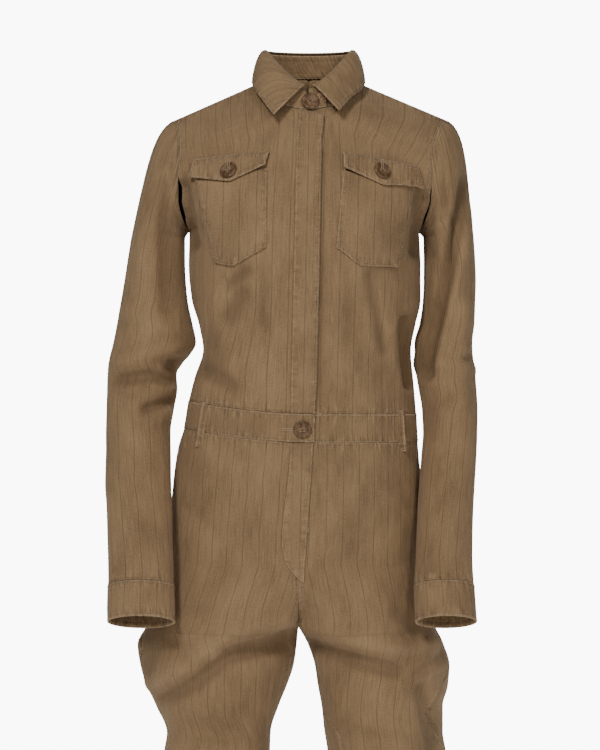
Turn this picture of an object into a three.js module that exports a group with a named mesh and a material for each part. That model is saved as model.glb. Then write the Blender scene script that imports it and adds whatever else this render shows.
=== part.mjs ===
import * as THREE from "three";

// A worn boiler suit as hollow cloth walls. Millimetres, +Z up, the front faces -Y.
// Left and right are the wearer's, so the left side is +X.
// The origin is the middle of the neck base, level with the high points of the shoulders.

const CLOTH = 1.6;
const SEAM_GAP = 0.3;
const ON_TOP = 1.6;

// The centre front line leans by this much in X for each millimetre of height.
const LEAN = 0.0218;
const LEAN_ZERO = -295;

const WAIST_SEAM = -438;
const BAND_HEIGHT = 37;
const BAND_BOTTOM = WAIST_SEAM - BAND_HEIGHT;
const ARMPIT = -195;
const CROTCH = -726;
const RISE_CURVE = 90;
const HEM = -1362;

const SIDES = { right: -1, left: 1 };
const deg = Math.PI / 180;

const COLOURS = {
  cloth: 0x8e7a5e,
  band: 0x86725a,
  collar: 0x94806a,
  button: 0x6e5436,
};

function vec(x, y, z) {
  return new THREE.Vector3(x, y, z);
}

function clamp(value, low = 0, high = 1) {
  return Math.min(high, Math.max(low, value));
}

function mix(a, b, t) {
  return a + (b - a) * t;
}

function ease(t) {
  const c = clamp(t);
  return c * c * (3 - 2 * c);
}

// A table with named columns becomes a smooth function of its first column.
function track(columns, rows) {
  const names = columns.split(" ");
  const last = rows.length - 1;
  const down = rows[last][0] < rows[0][0];
  const slope = (i, c) => (rows[i + 1][c] - rows[i][c]) / (rows[i + 1][0] - rows[i][0]);
  const tangent = (i, c) => {
    if (i === 0) return slope(0, c);
    if (i === last) return slope(last - 1, c);
    const before = slope(i - 1, c);
    const after = slope(i, c);
    return before * after <= 0 ? 0 : (2 * before * after) / (before + after);
  };
  return (key) => {
    let i = 0;
    while (i < last - 1 && (down ? key < rows[i + 1][0] : key > rows[i + 1][0])) i += 1;
    const span = rows[i + 1][0] - rows[i][0];
    const t = clamp((key - rows[i][0]) / span);
    const found = {};
    names.forEach((name, c) => {
      const start = rows[i][c] * (2 * t ** 3 - 3 * t ** 2 + 1) + rows[i + 1][c] * (3 * t ** 2 - 2 * t ** 3);
      const turn = tangent(i, c) * (t ** 3 - 2 * t ** 2 + t) + tangent(i + 1, c) * (t ** 3 - t ** 2);
      found[name] = start + turn * span;
    });
    found[names[0]] = key;
    return found;
  };
}

// Bodice between the waist seam and the armpits: side seams in X, centre front and back in Y.
const bodiceTrunk = track("z right left front back", [
  [-438, -157, 150, -112, 98],
  [-400, -148, 147, -108, 93],
  [-355, -137.5, 143, -106, 90],
  [-320, -143, 149, -110, 92],
  [-285, -153, 156, -116, 97],
  [-240, -157, 156, -123, 103],
  [-195, -156, 154, -125, 107],
]);

const frontCentre = track("z y", [
  [-195, -125],
  [-150, -121],
  [-100, -106],
  [-60, -87],
  [-38, -75],
]);

const backCentre = track("z y", [
  [-195, 107],
  [-130, 109],
  [-70, 99],
  [-20, 79],
  [18, 58],
]);

// Armhole seams, from the shoulder point at 0 to the armpit at 1.
const armhole = {
  front: track("part right left y z", [
    [0, -172, 187, 0, -42],
    [0.12, -169, 178, -22, -60],
    [0.3, -167, 170, -44, -88],
    [0.5, -168, 168, -55, -122],
    [0.7, -168, 167, -50, -155],
    [0.87, -162, 160, -30, -182],
    [1, -156, 154, 0, ARMPIT],
  ]),
  back: track("part right left y z", [
    [0, -172, 187, 0, -42],
    [0.12, -173, 184, 22, -60],
    [0.3, -170, 176, 42, -90],
    [0.5, -168, 170, 52, -122],
    [0.7, -165, 166, 48, -155],
    [0.87, -160, 159, 28, -182],
    [1, -156, 154, 0, ARMPIT],
  ]),
};

// Neck seam: half width, how far it drops in front and rises at the back from the shoulder.
const NECK = { x: 5, half: 64, side: 8, front: -75, back: 58, drop: 46, rise: 10 };

// Trousers above the crotch: side seams in X, centre front and back in Y.
const hips = track("z right left front back", [
  [-475, -163, 152, -115, 100],
  [-500, -171, 154, -119, 108],
  [-528, -176, 157, -121, 116],
  [-580, -182, 160, -121, 125],
  [-636, -189, 163, -117, 125],
  [-680, -199, 166, -112, 120],
  [-726, -214, 175, -108, 116],
]);

// Each leg below the crotch: inseam and side edge in X, deepest points in Y, and by how many
// degrees round the front the inseam and the side seam have twisted.
const legs = {
  right: track("z inner outer front back inTurn outTurn", [
    [-726, -9, -214, -108, 116, 0, 0],
    [-750, -11, -226, -106, 117, 14, 24],
    [-778, -15, -222, -102, 117, 22, 8],
    [-805, -24, -213, -98, 115, 20, 0],
    [-832, -35, -201, -98, 112, 8, 3],
    [-868, -46, -186, -103, 108, 0, 34],
    [-894, -47, -190, -106, 106, 2, 38],
    [-980, -41, -198, -104, 104, 8, 16],
    [-1080, -35, -193, -96, 98, 6, 4],
    [-1200, -31, -176, -80, 86, 2, 0],
    [-1300, -30, -161, -66, 72, 0, 0],
    [HEM, -31, -156, -60, 66, 0, 0],
  ]),
  left: track("z inner outer front back inTurn outTurn", [
    [-726, -9, 175, -108, 116, 0, 0],
    [-750, 4, 187, -107, 117, 2, 2],
    [-778, 13, 195, -103, 117, 10, 14],
    [-805, 17, 193, -101, 115, 19, 38],
    [-832, 22, 186, -101, 112, 17, 41],
    [-868, 26, 186, -104, 109, 42, 27],
    [-894, 30, 190, -106, 106, 40, 16],
    [-980, 33, 196, -104, 104, 14, 4],
    [-1080, 33, 191, -96, 98, 5, 0],
    [-1200, 33, 176, -80, 86, 0, 0],
    [-1300, 36, 162, -66, 72, 0, 0],
    [HEM, 39, 158, -60, 66, 0, 0],
  ]),
};

// Arms as tilted ovals: middle in Y, edges in X away from and beside the body, half depth, tilt.
const ARM_COLUMNS = "z y outer inner depth tilt";
const ARM_ROWS = {
  right: [
    [-205, 2, -235, -162, 60, 4],
    [-235, 3, -240, -162, 61, 2],
    [-260, 4, -244, -161, 60, 0],
    [-290, 4, -249, -158, 59, 0],
    [-318, 4, -254, -152, 58, 0],
    [-344, 2, -259, -147, 56, 2],
    [-362, 0, -263, -157, 52, 6],
    [-379, -1, -266, -174, 49, 9],
    [-405, -3, -267, -172, 50, 14],
    [-432, -11, -267, -176, 49, 16],
    [-462, -21, -267, -180, 46, 18],
    [-495, -33, -266, -179, 44, 19],
    [-529, -45, -266, -178, 42, 19],
    [-565, -57, -263, -176, 41, 19],
    [-600, -69, -261, -175, 39, 19],
    [-634, -81, -259, -173, 37, 19],
    [-664, -91, -258, -172, 36, 19],
    [-688, -99, -258, -171, 36.5, 19],
    [-709, -107, -257, -170, 37, 19],
  ],
  left: [
    [-205, 2, 228, 160, 60, 4],
    [-235, 3, 230, 160.5, 61, 2],
    [-260, 4, 231, 160.5, 60, 0],
    [-290, 4, 230, 159, 59, 0],
    [-318, 4, 229, 155, 58, 0],
    [-344, 3, 226, 148, 56, 2],
    [-362, 2, 227, 148, 53, 5],
    [-378, 0, 229, 149, 50, 9],
    [-405, -4, 231, 153, 50, 14],
    [-432, -12, 232, 157, 49, 16],
    [-462, -22, 231, 158, 46, 18],
    [-495, -33, 229, 155, 44, 19],
    [-529, -45, 226, 152, 42, 19],
    [-565, -57, 223, 149, 41, 19],
    [-600, -69, 221, 147, 39, 19],
    [-634, -81, 220, 145, 37, 19],
    [-664, -91, 221, 143, 36, 19],
    [-688, -99, 222, 143.5, 36.5, 19],
    [-709, -107, 223, 144, 37, 19],
  ],
};
const arms = { right: track(ARM_COLUMNS, ARM_ROWS.right), left: track(ARM_COLUMNS, ARM_ROWS.left) };
const CUFF_ROWS = 2;

// How the sleeve cap leaves the armhole, and how far the arm leans out for each part of height.
const CAP = { rows: 6, leave: 0.2, arrive: 0.55, dip: 0.25, flare: { right: 0.21, left: 0.105 } };

const AROUND_ARM = 20;
const ACROSS = 9;
const LOW_ROWS = 9;
const UP_ROWS = AROUND_ARM / 2;
const NECK_ROW = { front: LOW_ROWS + 5, back: LOW_ROWS + 6 };
const SHOULDER_BOW = 35;

function centreX(z) {
  return -LEAN * (LEAN_ZERO - Math.min(z, -20));
}

// The right hip stands higher, which lifts the waist seams there.
function hike(point) {
  const near = ease((point.z + 620) / 130) * ease((-330 - point.z) / 90);
  const lifted = 15.5 * clamp((-point.x - 4) / 152) ** 1.6;
  const right = -1.5 * clamp(point.x / 150);
  return vec(point.x, point.y, point.z + near * (lifted + right));
}

function neckPoint(side, angle) {
  const facing = Math.cos(angle * deg);
  const reach = facing > 0 ? NECK.front : NECK.back;
  const height = facing > 0 ? -NECK.drop : NECK.rise;
  const x = NECK.x + side * NECK.half * Math.sin(angle * deg);
  return vec(x, reach * Math.abs(facing), NECK.side + height * Math.abs(facing));
}

function bodiceMiddle(face, side, row) {
  const neckRow = NECK_ROW[face];
  const topRow = LOW_ROWS + UP_ROWS;
  if (row <= LOW_ROWS) {
    const z = mix(WAIST_SEAM, ARMPIT, row / LOW_ROWS);
    return vec(centreX(z), bodiceTrunk(z)[face], z);
  }
  if (row <= neckRow) {
    const top = neckPoint(side, face === "front" ? 0 : 180).z;
    const z = mix(ARMPIT, top, (row - LOW_ROWS) / (neckRow - LOW_ROWS));
    const middle = face === "front" ? frontCentre(z) : backCentre(z);
    return vec(mix(centreX(z), NECK.x, ease((z - ARMPIT) / 150)), middle.y, z);
  }
  const turned = (90 * (row - neckRow)) / (topRow - neckRow);
  return neckPoint(side, face === "front" ? turned : 180 - turned);
}

function bodiceEdge(face, side, row) {
  const name = side < 0 ? "right" : "left";
  if (row <= LOW_ROWS) {
    const z = mix(WAIST_SEAM, ARMPIT, row / LOW_ROWS);
    return vec(bodiceTrunk(z)[name], 0, z);
  }
  const seam = armhole[face](1 - (row - LOW_ROWS) / UP_ROWS);
  return vec(seam[name], seam.y, seam.z);
}

function bodicePoint(face, side, across, row) {
  const middle = bodiceMiddle(face, side, row);
  const edge = bodiceEdge(face, side, row);
  const upper = clamp((row - LOW_ROWS) / UP_ROWS);
  const bow = mix(90, SHOULDER_BOW, upper) * deg;
  const along = Math.sin(across * bow) / Math.sin(bow);
  const round = (Math.cos(across * bow) - Math.cos(bow)) / (1 - Math.cos(bow));
  const point = vec(mix(middle.x, edge.x, along), mix(edge.y, middle.y, round), mix(middle.z, edge.z, along));
  return hike(point);
}

function bandPoint(angle, height) {
  const side = Math.sin(angle * deg) < 0 ? "right" : "left";
  const z = mix(BAND_BOTTOM, WAIST_SEAM, height);
  const low = hips(BAND_BOTTOM);
  const high = bodiceTrunk(WAIST_SEAM);
  const facing = -Math.cos(angle * deg);
  const face = facing < 0 ? "front" : "back";
  const half = mix(low[side] - centreX(BAND_BOTTOM), high[side] - centreX(WAIST_SEAM), height);
  const x = centreX(z) + half * Math.abs(Math.sin(angle * deg));
  return hike(vec(x, Math.abs(facing) * mix(low[face], high[face], height), z));
}

const HIP_ROWS = 5;
const CURVE_ROWS = 5;
const THIGH = { rows: 9, step: 17.5 };
const SHIN_ROWS = 7;
const LEG_ROWS = THIGH.rows + SHIN_ROWS;
const HIP_TOP = CROTCH + RISE_CURVE;

// Below the rise each half of the trousers closes to a whole oval, full at the crotch.
function trouserPoint(face, side, across, row) {
  const name = side < 0 ? "right" : "left";
  const turn = clamp((row - HIP_ROWS) / CURVE_ROWS) * 90;
  const seam = Math.sin(turn * deg);
  let z;
  if (row <= HIP_ROWS) z = mix(BAND_BOTTOM, HIP_TOP, row / HIP_ROWS);
  else if (row <= HIP_ROWS + CURVE_ROWS) z = CROTCH + RISE_CURVE * (1 - seam);
  else z = legHeight(row - HIP_ROWS - CURVE_ROWS);
  if (z >= CROTCH) {
    const angle = mix(-turn, 90, across) * deg;
    const level = hips(z);
    const reach = level[name] - centreX(z);
    const x = centreX(z) + (reach * (seam + Math.sin(angle))) / (1 + seam);
    return hike(vec(x, level[face] * Math.cos(angle), z));
  }
  const level = legs[name](z);
  const more = face === "front" ? -1 : 1;
  const angle = mix(-90 - more * level.inTurn, 90 + more * level.outTurn, across) * deg;
  const facing = Math.cos(angle);
  const other = face === "front" ? "back" : "front";
  const x = mix(level.inner, level.outer, (1 + Math.sin(angle)) / 2);
  return vec(x, level[facing < 0 ? other : face] * Math.abs(facing), z);
}

// Rows lie closer together at the thigh, where the large folds are.
function legHeight(step) {
  if (step <= THIGH.rows) return CROTCH - THIGH.step * step;
  return mix(CROTCH - THIGH.step * THIGH.rows, HEM, (step - THIGH.rows) / SHIN_ROWS);
}

function armPoint(side, turn, section) {
  const reach = (section.outer - section.inner) / 2;
  const x = (section.outer + section.inner) / 2 + reach * Math.cos(turn * deg);
  const forward = section.depth * Math.sin(turn * deg);
  const lean = section.tilt * deg;
  return vec(x, section.y - forward * Math.cos(lean), section.z + forward * Math.sin(lean));
}

function armholePoint(side, step) {
  const half = AROUND_ARM / 2;
  const top = LOW_ROWS + UP_ROWS;
  if (step <= half) return bodiceEdge("front", side, top - step);
  return bodiceEdge("back", side, top - (AROUND_ARM - step));
}

function sleevePoint(name, step, row) {
  const side = SIDES[name];
  const turn = (360 / AROUND_ARM) * step;
  if (row >= CAP.rows) {
    const [z] = ARM_ROWS[name][row - CAP.rows];
    return armPoint(side, turn, arms[name](z));
  }
  const from = armholePoint(side, step);
  const to = armPoint(side, turn, arms[name](ARM_ROWS[name][0][0]));
  const upper = (1 + Math.cos(turn * deg)) / 2;
  const reach = from.distanceTo(to);
  const leave = vec(side * upper, -0.25 * Math.sin(turn * deg), -CAP.dip - (1 - upper)).normalize();
  const arrive = vec(side * CAP.flare[name] * upper, 0, -1).normalize();
  const first = from.clone().addScaledVector(leave, reach * CAP.leave);
  const second = to.clone().addScaledVector(arrive, -reach * CAP.arrive);
  return new THREE.CubicBezierCurve3(from, first, second, to).getPoint(row / CAP.rows);
}

// The largest folds, as strokes in the front view: a line in X and Z, its half width and height.
// A negative height is a trough. Face is the side of the cloth that the stroke marks.
const FOLD_COLUMNS = ["group", "face", "fromX", "fromZ", "toX", "toZ", "wide", "high"];
const FOLDS = [
  ["legs", "front", -28, -709, -90, -721, 14, 8],
  ["legs", "front", -90, -721, -135, -747, 15, 8],
  ["legs", "front", -135, -747, -200, -797, 16, 9],
  ["legs", "front", -30, -741, -98, -751, 14, -11],
  ["legs", "front", -98, -751, -145, -791, 14, -9],
  ["legs", "front", -145, -791, -188, -813, 14, -7],
  ["legs", "front", -168, -742, -150, -760, 12, -5],
  ["legs", "front", -95, -846, -145, -846, 24, -4],
  ["legs", "front", -85, -898, -160, -884, 28, 10],
  ["legs", "front", 0, -718, 44, -729, 13, 6],
  ["legs", "front", 44, -729, 124, -743, 13, 9],
  ["legs", "front", 124, -746, 186, -736, 12, 6],
  ["legs", "front", 10, -746, 52, -758, 13, -7],
  ["legs", "front", 52, -758, 118, -773, 13, -9],
  ["legs", "front", 122, -700, 148, -722, 13, -6],
  ["legs", "front", 152, -800, 170, -872, 11, -7],
  ["legs", "back", -30, -700, -150, -748, 16, 8],
  ["legs", "back", -40, -742, -150, -790, 15, -10],
  ["legs", "back", 20, -706, 140, -752, 16, 8],
  ["legs", "back", 30, -748, 140, -794, 15, -10],
  ["right", "front", -250, -392, -190, -382, 9, -8],
  ["right", "front", -246, -366, -180, -352, 14, 5],
  ["right", "front", -236, -300, -176, -330, 12, 5],
  ["left", "front", 218, -150, 196, -270, 9, -8],
  ["left", "front", 196, -292, 166, -386, 10, -9],
  ["left", "front", 212, -300, 206, -420, 12, 5],
  ["left", "front", 232, -354, 196, -372, 7, -7],
  ["right", "back", -250, -380, -180, -372, 14, 8],
  ["left", "back", 226, -380, 160, -372, 14, 8],
  ["body", "front", -80, -165, -84, -185, 42, 6],
  ["body", "front", 84, -165, 88, -185, 42, 6],
  ["body", "back", -110, -378, -20, -352, 20, 6],
  ["body", "back", 20, -352, 112, -378, 20, 6],
  ["body", "back", -112, -336, -30, -318, 20, -5],
  ["body", "back", 30, -318, 112, -336, 20, -5],
].map((row) => Object.fromEntries(FOLD_COLUMNS.map((name, i) => [name, row[i]])));

function foldHeight(group, point, normal) {
  let height = 0;
  for (const fold of FOLDS) {
    const faces = fold.face === "front" ? -normal.y : normal.y;
    if (fold.group !== group || faces <= 0) continue;
    const dx = fold.toX - fold.fromX;
    const dz = fold.toZ - fold.fromZ;
    const along = ((point.x - fold.fromX) * dx + (point.z - fold.fromZ) * dz) / (dx * dx + dz * dz);
    const t = clamp(along);
    const away = Math.hypot(point.x - fold.fromX - t * dx, point.z - fold.fromZ - t * dz);
    height += fold.high * Math.exp(-((away / fold.wide) ** 2)) * ease(faces * 2.5);
  }
  return height;
}

// A patch is rows of points. A sheet of cloth is one patch, or several that share points.
function patch(columns, rows, at, ring = false) {
  const count = ring ? columns : columns + 1;
  const points = [];
  for (let row = 0; row <= rows; row += 1) {
    const line = [];
    for (let column = 0; column < count; column += 1) line.push(at(column / columns, row, column));
    points.push(line);
  }
  return { points, rows, columns, ring };
}

function neighbour(part, row, column) {
  const count = part.points[0].length;
  const c = part.ring ? (column + count) % count : clamp(column, 0, count - 1);
  return part.points[clamp(row, 0, part.rows)][c];
}

const key = (p) => [p.x, p.y, p.z].map((v) => Math.round(v * 50)).join(",");

// Sheets that share a seam share its points, so their normals there are one.
function setNormals(sheets) {
  const shared = new Map();
  for (const cloth of sheets) {
    for (const part of cloth.patches) {
      part.points.forEach((line, row) => line.forEach((point, column) => {
        const up = neighbour(part, row + 1, column).clone().sub(neighbour(part, row - 1, column));
        const over = neighbour(part, row, column + 1).clone().sub(neighbour(part, row, column - 1));
        const normal = over.cross(up).multiplyScalar(cloth.turned ? -1 : 1).normalize();
        if (!shared.has(key(point))) shared.set(key(point), new Map());
        const groups = shared.get(key(point));
        groups.set(cloth.group, (groups.get(cloth.group) ?? vec(0, 0, 0)).add(normal));
      }));
    }
  }
  const together = (point) => {
    const sum = vec(0, 0, 0);
    for (const group of shared.get(key(point)).values()) sum.add(group.clone().normalize());
    return sum.normalize();
  };
  for (const cloth of sheets) {
    for (const part of cloth.patches) part.normals = part.points.map((line) => line.map(together));
  }
}

function applyFolds(cloth) {
  for (const part of cloth.patches) {
    part.points = part.points.map((line, row) => line.map((point, column) => {
      const normal = part.normals[row][column];
      const height = foldHeight(cloth.group, point, normal) * cloth.fade(row);
      return point.clone().addScaledVector(normal, height);
    }));
  }
}

// The faces of one or more patches, each split along its shorter diagonal.
function facesOf(patches, turned, idOf) {
  const faces = [];
  const put = (...corners) => {
    const ids = corners.map(idOf);
    faces.push(turned ? ids.reverse() : ids);
  };
  for (const { points, rows, columns, ring } of patches) {
    for (let row = 0; row < rows; row += 1) {
      for (let c = 0; c < columns; c += 1) {
        const next = ring ? (c + 1) % columns : c + 1;
        const [p, q] = [points[row][c], points[row][next]];
        const [r, s] = [points[row + 1][next], points[row + 1][c]];
        if (p.distanceTo(r) <= q.distanceTo(s)) {
          put(p, q, r);
          put(p, r, s);
        } else {
          put(p, q, s);
          put(q, r, s);
        }
      }
    }
  }
  return faces;
}

// Edges that only one face uses, running the way that its face does.
function openEdges(faces) {
  const edges = new Map();
  for (const face of faces) {
    face.forEach((a, i) => {
      const b = face[(i + 1) % 3];
      if (!edges.delete(`${b} ${a}`)) edges.set(`${a} ${b}`, [a, b]);
    });
  }
  return [...edges.values()];
}

// Closes two like layers of cloth with a rim along their open edges.
function closed(faces, outer, inner) {
  const size = outer.length;
  const corners = [...outer, ...inner];
  const triangles = [...faces, ...faces.map(([a, b, c]) => [a + size, c + size, b + size])];
  for (const [a, b] of openEdges(faces)) {
    const [low, high] = [a + size, b + size];
    if (corners[b].distanceTo(corners[low]) <= corners[a].distanceTo(corners[high])) {
      triangles.push([b, a, low], [b, low, high]);
    } else {
      triangles.push([b, a, high], [a, low, high]);
    }
  }
  const geometry = new THREE.BufferGeometry();
  const positions = corners.flatMap((p) => [p.x, p.y, p.z]);
  geometry.setAttribute("position", new THREE.Float32BufferAttribute(positions, 3));
  geometry.setIndex(triangles.flat());
  geometry.computeVertexNormals();
  return geometry;
}

// A wall inside its sheet: its edges draw back by half the seam gap, square to each edge.
function wallOf(cloth) {
  const ids = new Map();
  const points = [];
  const normals = [];
  for (const part of cloth.patches) {
    part.points.forEach((line, row) => line.forEach((point, column) => {
      if (ids.has(key(point))) return;
      ids.set(key(point), points.length);
      points.push(point);
      normals.push(part.normals[row][column]);
    }));
  }
  const faces = facesOf(cloth.patches, cloth.turned, (point) => ids.get(key(point)));
  const pulls = points.map(() => []);
  for (const [a, b] of openEdges(faces)) {
    const along = points[b].clone().sub(points[a]).normalize();
    for (const end of [a, b]) pulls[end].push(normals[end].clone().cross(along).normalize());
  }
  const drawn = points.map((point, i) => {
    if (!pulls[i].length) return point;
    const [one, two] = [pulls[i][0], pulls[i][pulls[i].length - 1]];
    const share = SEAM_GAP / 2 / Math.max(0.4, 1 + one.dot(two));
    return point.clone().addScaledVector(one, share).addScaledVector(two, share);
  });
  const layer = (depth) => drawn.map((point, i) => point.clone().addScaledVector(normals[i], depth));
  return closed(faces, layer(cloth.lift), layer(cloth.lift - cloth.wall));
}

function closedWall(outer, inner, turned) {
  const shape = { points: outer, rows: outer.length - 1, columns: outer[0].length - 1, ring: false };
  const ids = new Map(outer.flat().map((point, i) => [point, i]));
  return closed(facesOf([shape], turned, (point) => ids.get(point)), outer.flat(), inner.flat());
}

const suit = new THREE.Group();

function add(name, geometry, colour, roughness = 0.9) {
  const material = new THREE.MeshStandardMaterial({ color: colour, roughness, metalness: 0 });
  const mesh = new THREE.Mesh(geometry, material);
  mesh.name = name;
  suit.add(mesh);
}

// Bodice, back, sleeves and trousers are one skin of sheets that meet at their seams.
const BODICE_ROWS = LOW_ROWS + UP_ROWS;
const SLEEVE_ROWS = CAP.rows + ARM_ROWS.right.length - 1 - CUFF_ROWS;
const TROUSER_ROWS = HIP_ROWS + CURVE_ROWS + LEG_ROWS;
const skin = [];

// Folds fade out towards the first and last rows, where a sheet is sewn.
function sheet(name, group, patches, turned, options = {}) {
  const { rows } = patches[0];
  const fade = (row) => ease(row / 2) * ease((rows - row) / 2);
  skin.push({ name, group, patches, turned, fade, lift: 0, wall: CLOTH, ...options });
}

for (const [name, side] of Object.entries(SIDES)) {
  const right = side < 0;
  const bodice = patch(ACROSS, BODICE_ROWS, (s, row) => bodicePoint("front", side, s, row));
  sheet(`front_${name}`, "body", [bodice], right);
  const sleeve = patch(AROUND_ARM, SLEEVE_ROWS, (s, row, step) => sleevePoint(name, step, row), true);
  sheet(`sleeve_${name}`, name, [sleeve], right);
  const cuff = patch(AROUND_ARM, CUFF_ROWS, (s, row, step) => sleevePoint(name, step, SLEEVE_ROWS + row), true);
  sheet(`cuff_${name}`, "cuffs", [cuff], right, { lift: 0.6, wall: 2.6 });
  for (const face of ["front", "back"]) {
    const panel = patch(ACROSS, TROUSER_ROWS, (s, row) => trouserPoint(face, side, s, row));
    sheet(`leg_${face}_${name}`, "legs", [panel], right !== (face === "front"));
  }
}

// The back is whole: its two halves share the centre line below the neck.
const backHalves = [
  patch(ACROSS, BODICE_ROWS, (s, row) => bodicePoint("back", SIDES.right, 1 - s, row)),
  patch(ACROSS, BODICE_ROWS, (s, row) => bodicePoint("back", SIDES.left, s, row)),
];
sheet("back", "body", backHalves, true);

setNormals(skin);
skin.forEach(applyFolds);
setNormals(skin);
for (const cloth of skin) add(cloth.name, wallOf(cloth), COLOURS.cloth);

// Finds the cloth surface under a place in the front or back view.
function surfaceAt(names, x, z, face = "front") {
  const facing = face === "front" ? -1 : 1;
  let best = null;
  const near = (part, trio) => {
    const [pa, pb, pd] = trio.map(([row, c]) => part.points[row][c]);
    const area = (pb.x - pa.x) * (pd.z - pa.z) - (pd.x - pa.x) * (pb.z - pa.z);
    const u = ((x - pa.x) * (pd.z - pa.z) - (pd.x - pa.x) * (z - pa.z)) / area;
    const v = ((pb.x - pa.x) * (z - pa.z) - (x - pa.x) * (pb.z - pa.z)) / area;
    const outside = Math.max(-u, -v, u + v - 1, 0);
    const y = pa.y + u * (pb.y - pa.y) + v * (pd.y - pa.y);
    if (y * facing < 0 || outside > 0.6 || (best && outside >= best.outside)) return;
    const [na, nb, nd] = trio.map(([row, c]) => part.normals[row][c]);
    const normal = vec(0, 0, 0).addScaledVector(na, 1 - u - v).addScaledVector(nb, u).addScaledVector(nd, v);
    best = { outside, point: vec(x, y, z), normal: normal.normalize() };
  };
  const parts = skin.filter((one) => names.includes(one.name)).flatMap((one) => one.patches);
  for (const part of parts) {
    for (let row = 0; row < part.rows; row += 1) {
      for (let c = 0; c < part.columns; c += 1) {
        near(part, [[row, c], [row, c + 1], [row + 1, c + 1]]);
        near(part, [[row, c], [row + 1, c + 1], [row + 1, c]]);
      }
    }
  }
  return best;
}

// A piece that lies on other cloth: its outline in X and Z, and how far it stands off.
function laidOn(name, names, columns, rows, outline, height, wall, colour, face = "front") {
  const layers = [height, (u, v) => height(u, v) + wall].map((off) => {
    const points = [];
    for (let row = 0; row <= rows; row += 1) {
      const line = [];
      for (let column = 0; column <= columns; column += 1) {
        const [u, v] = [column / columns, row / rows];
        const [x, z] = outline(u, v);
        const { point, normal } = surfaceAt(names, x, z, face);
        line.push(point.clone().addScaledVector(normal, off(u, v)));
      }
      points.push(line);
    }
    return points;
  });
  add(name, closedWall(layers[1], layers[0], face === "front"), colour);
}

const FRONTS = ["front_right", "front_left"];
const LEG_FRONTS = ["leg_front_right", "leg_front_left"];

// Placket from the neck to the waist seam, level with its free edge on the left front.
const PLACKET = { half: 15.6, top: -41, bottom: WAIST_SEAM + 0.6, rows: 22 };
laidOn("placket", FRONTS, 4, PLACKET.rows, (u, v) => {
  const z = mix(PLACKET.top - 4 * u, PLACKET.bottom, v);
  const middle = centreX(z) + mix(3, 0, ease(v * 8));
  return [middle + mix(-PLACKET.half, PLACKET.half, u), z];
}, () => ON_TOP, CLOTH + 0.4, COLOURS.cloth);

// Patch pockets by their left and right edges from the top down, with a pointed bottom.
const POCKETS = {
  right: { top: [-146, -49.5], bottom: [-118, -50], z: [-121, -221], point: { at: 0.34, drop: 12 }, tilt: 19 },
  left: { top: [49, 147], bottom: [40, 122], z: [-121, -222], point: { at: 0.38, drop: 14 }, tilt: 24 },
};
const FLAPS = {
  right: { upper: [[-146, -102], [-46, -96]], lower: [[-150, -128], [-51, -116]], point: { at: 0.53, drop: 15 } },
  left: { upper: [[49, -97], [148, -112]], lower: [[49, -120], [152, -139]], point: { at: 0.5, drop: 12 } },
};

function pointed(u, point) {
  return u < point.at ? u / point.at : (1 - u) / (1 - point.at);
}

for (const [name, pocket] of Object.entries(POCKETS)) {
  laidOn(`pocket_${name}`, FRONTS, 7, 8, (u, v) => {
    const x = mix(mix(pocket.top[0], pocket.bottom[0], v), mix(pocket.top[1], pocket.bottom[1], v), u);
    const slant = pocket.tilt * (name === "right" ? 1 - u : u);
    const low = pocket.z[1] - slant - pocket.point.drop * pointed(u, pocket.point);
    return [x, mix(pocket.z[0], low, v)];
  }, () => ON_TOP, CLOTH, COLOURS.cloth);
}

const FLAP_OFF = ON_TOP + CLOTH + 0.8;
for (const [name, flap] of Object.entries(FLAPS)) {
  laidOn(`flap_${name}`, FRONTS, 6, 4, (u, v) => {
    const upper = [0, 1].map((i) => mix(flap.upper[0][i], flap.upper[1][i], u));
    const lower = [0, 1].map((i) => mix(flap.lower[0][i], flap.lower[1][i], u));
    const drop = flap.point.drop * pointed(u, flap.point);
    return [mix(upper[0], lower[0], v), mix(upper[1], lower[1] - drop, v)];
  }, (u, v) => mix(ON_TOP, FLAP_OFF, ease(v * 4)), CLOTH + 0.4, COLOURS.cloth);
}

// Waistband: one strip whose right end laps over its left end at the front.
const BAND = { steps: 4 * ACROSS, wall: 2, proud: 0.4, lap: 12, frontRadius: 116, over: 1.4, under: 1.2 };
const BAND_LAP = BAND.lap / BAND.frontRadius / deg;

function bandSurface(angle, height) {
  const point = bandPoint(-angle, height);
  const over = bandPoint(-angle - 1, height).sub(point);
  const up = bandPoint(-angle, height + 0.1).sub(point);
  return { point, normal: up.cross(over).normalize() };
}

function waistband() {
  const angles = [];
  for (let step = 0; step <= BAND.steps; step += 1) angles.push((360 / BAND.steps) * step);
  angles.push(360 + BAND_LAP / 2, 360 + BAND_LAP);
  const stand = (angle) => BAND.over * ease((angle - 345) / 12) - BAND.under * ease((14 - angle) / 12);
  const layer = (depth) => [0, 0.5, 1].map((height) => angles.map((angle) => {
    const { point, normal } = bandSurface(angle, height);
    const at = point.clone().addScaledVector(normal, depth + stand(angle));
    at.z += (0.5 - height) * SEAM_GAP;
    return at;
  }));
  add("waistband", closedWall(layer(BAND.proud), layer(BAND.proud - BAND.wall), true), COLOURS.band);
}
waistband();

// Belt loops: narrow strips that bow over the waistband.
const LOOPS = {
  loop_front_right: { top: [-131.5, -424], bottom: [-140, -483], face: "front" },
  loop_front_left: { top: [125, -434], bottom: [129, -489], face: "front" },
  loop_back: { top: [-1, -432], bottom: [-1, -484], face: "back" },
};
const LOOP = { wide: 9.5, rows: 6, wall: 1.8, bow: 3.2 };

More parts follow.
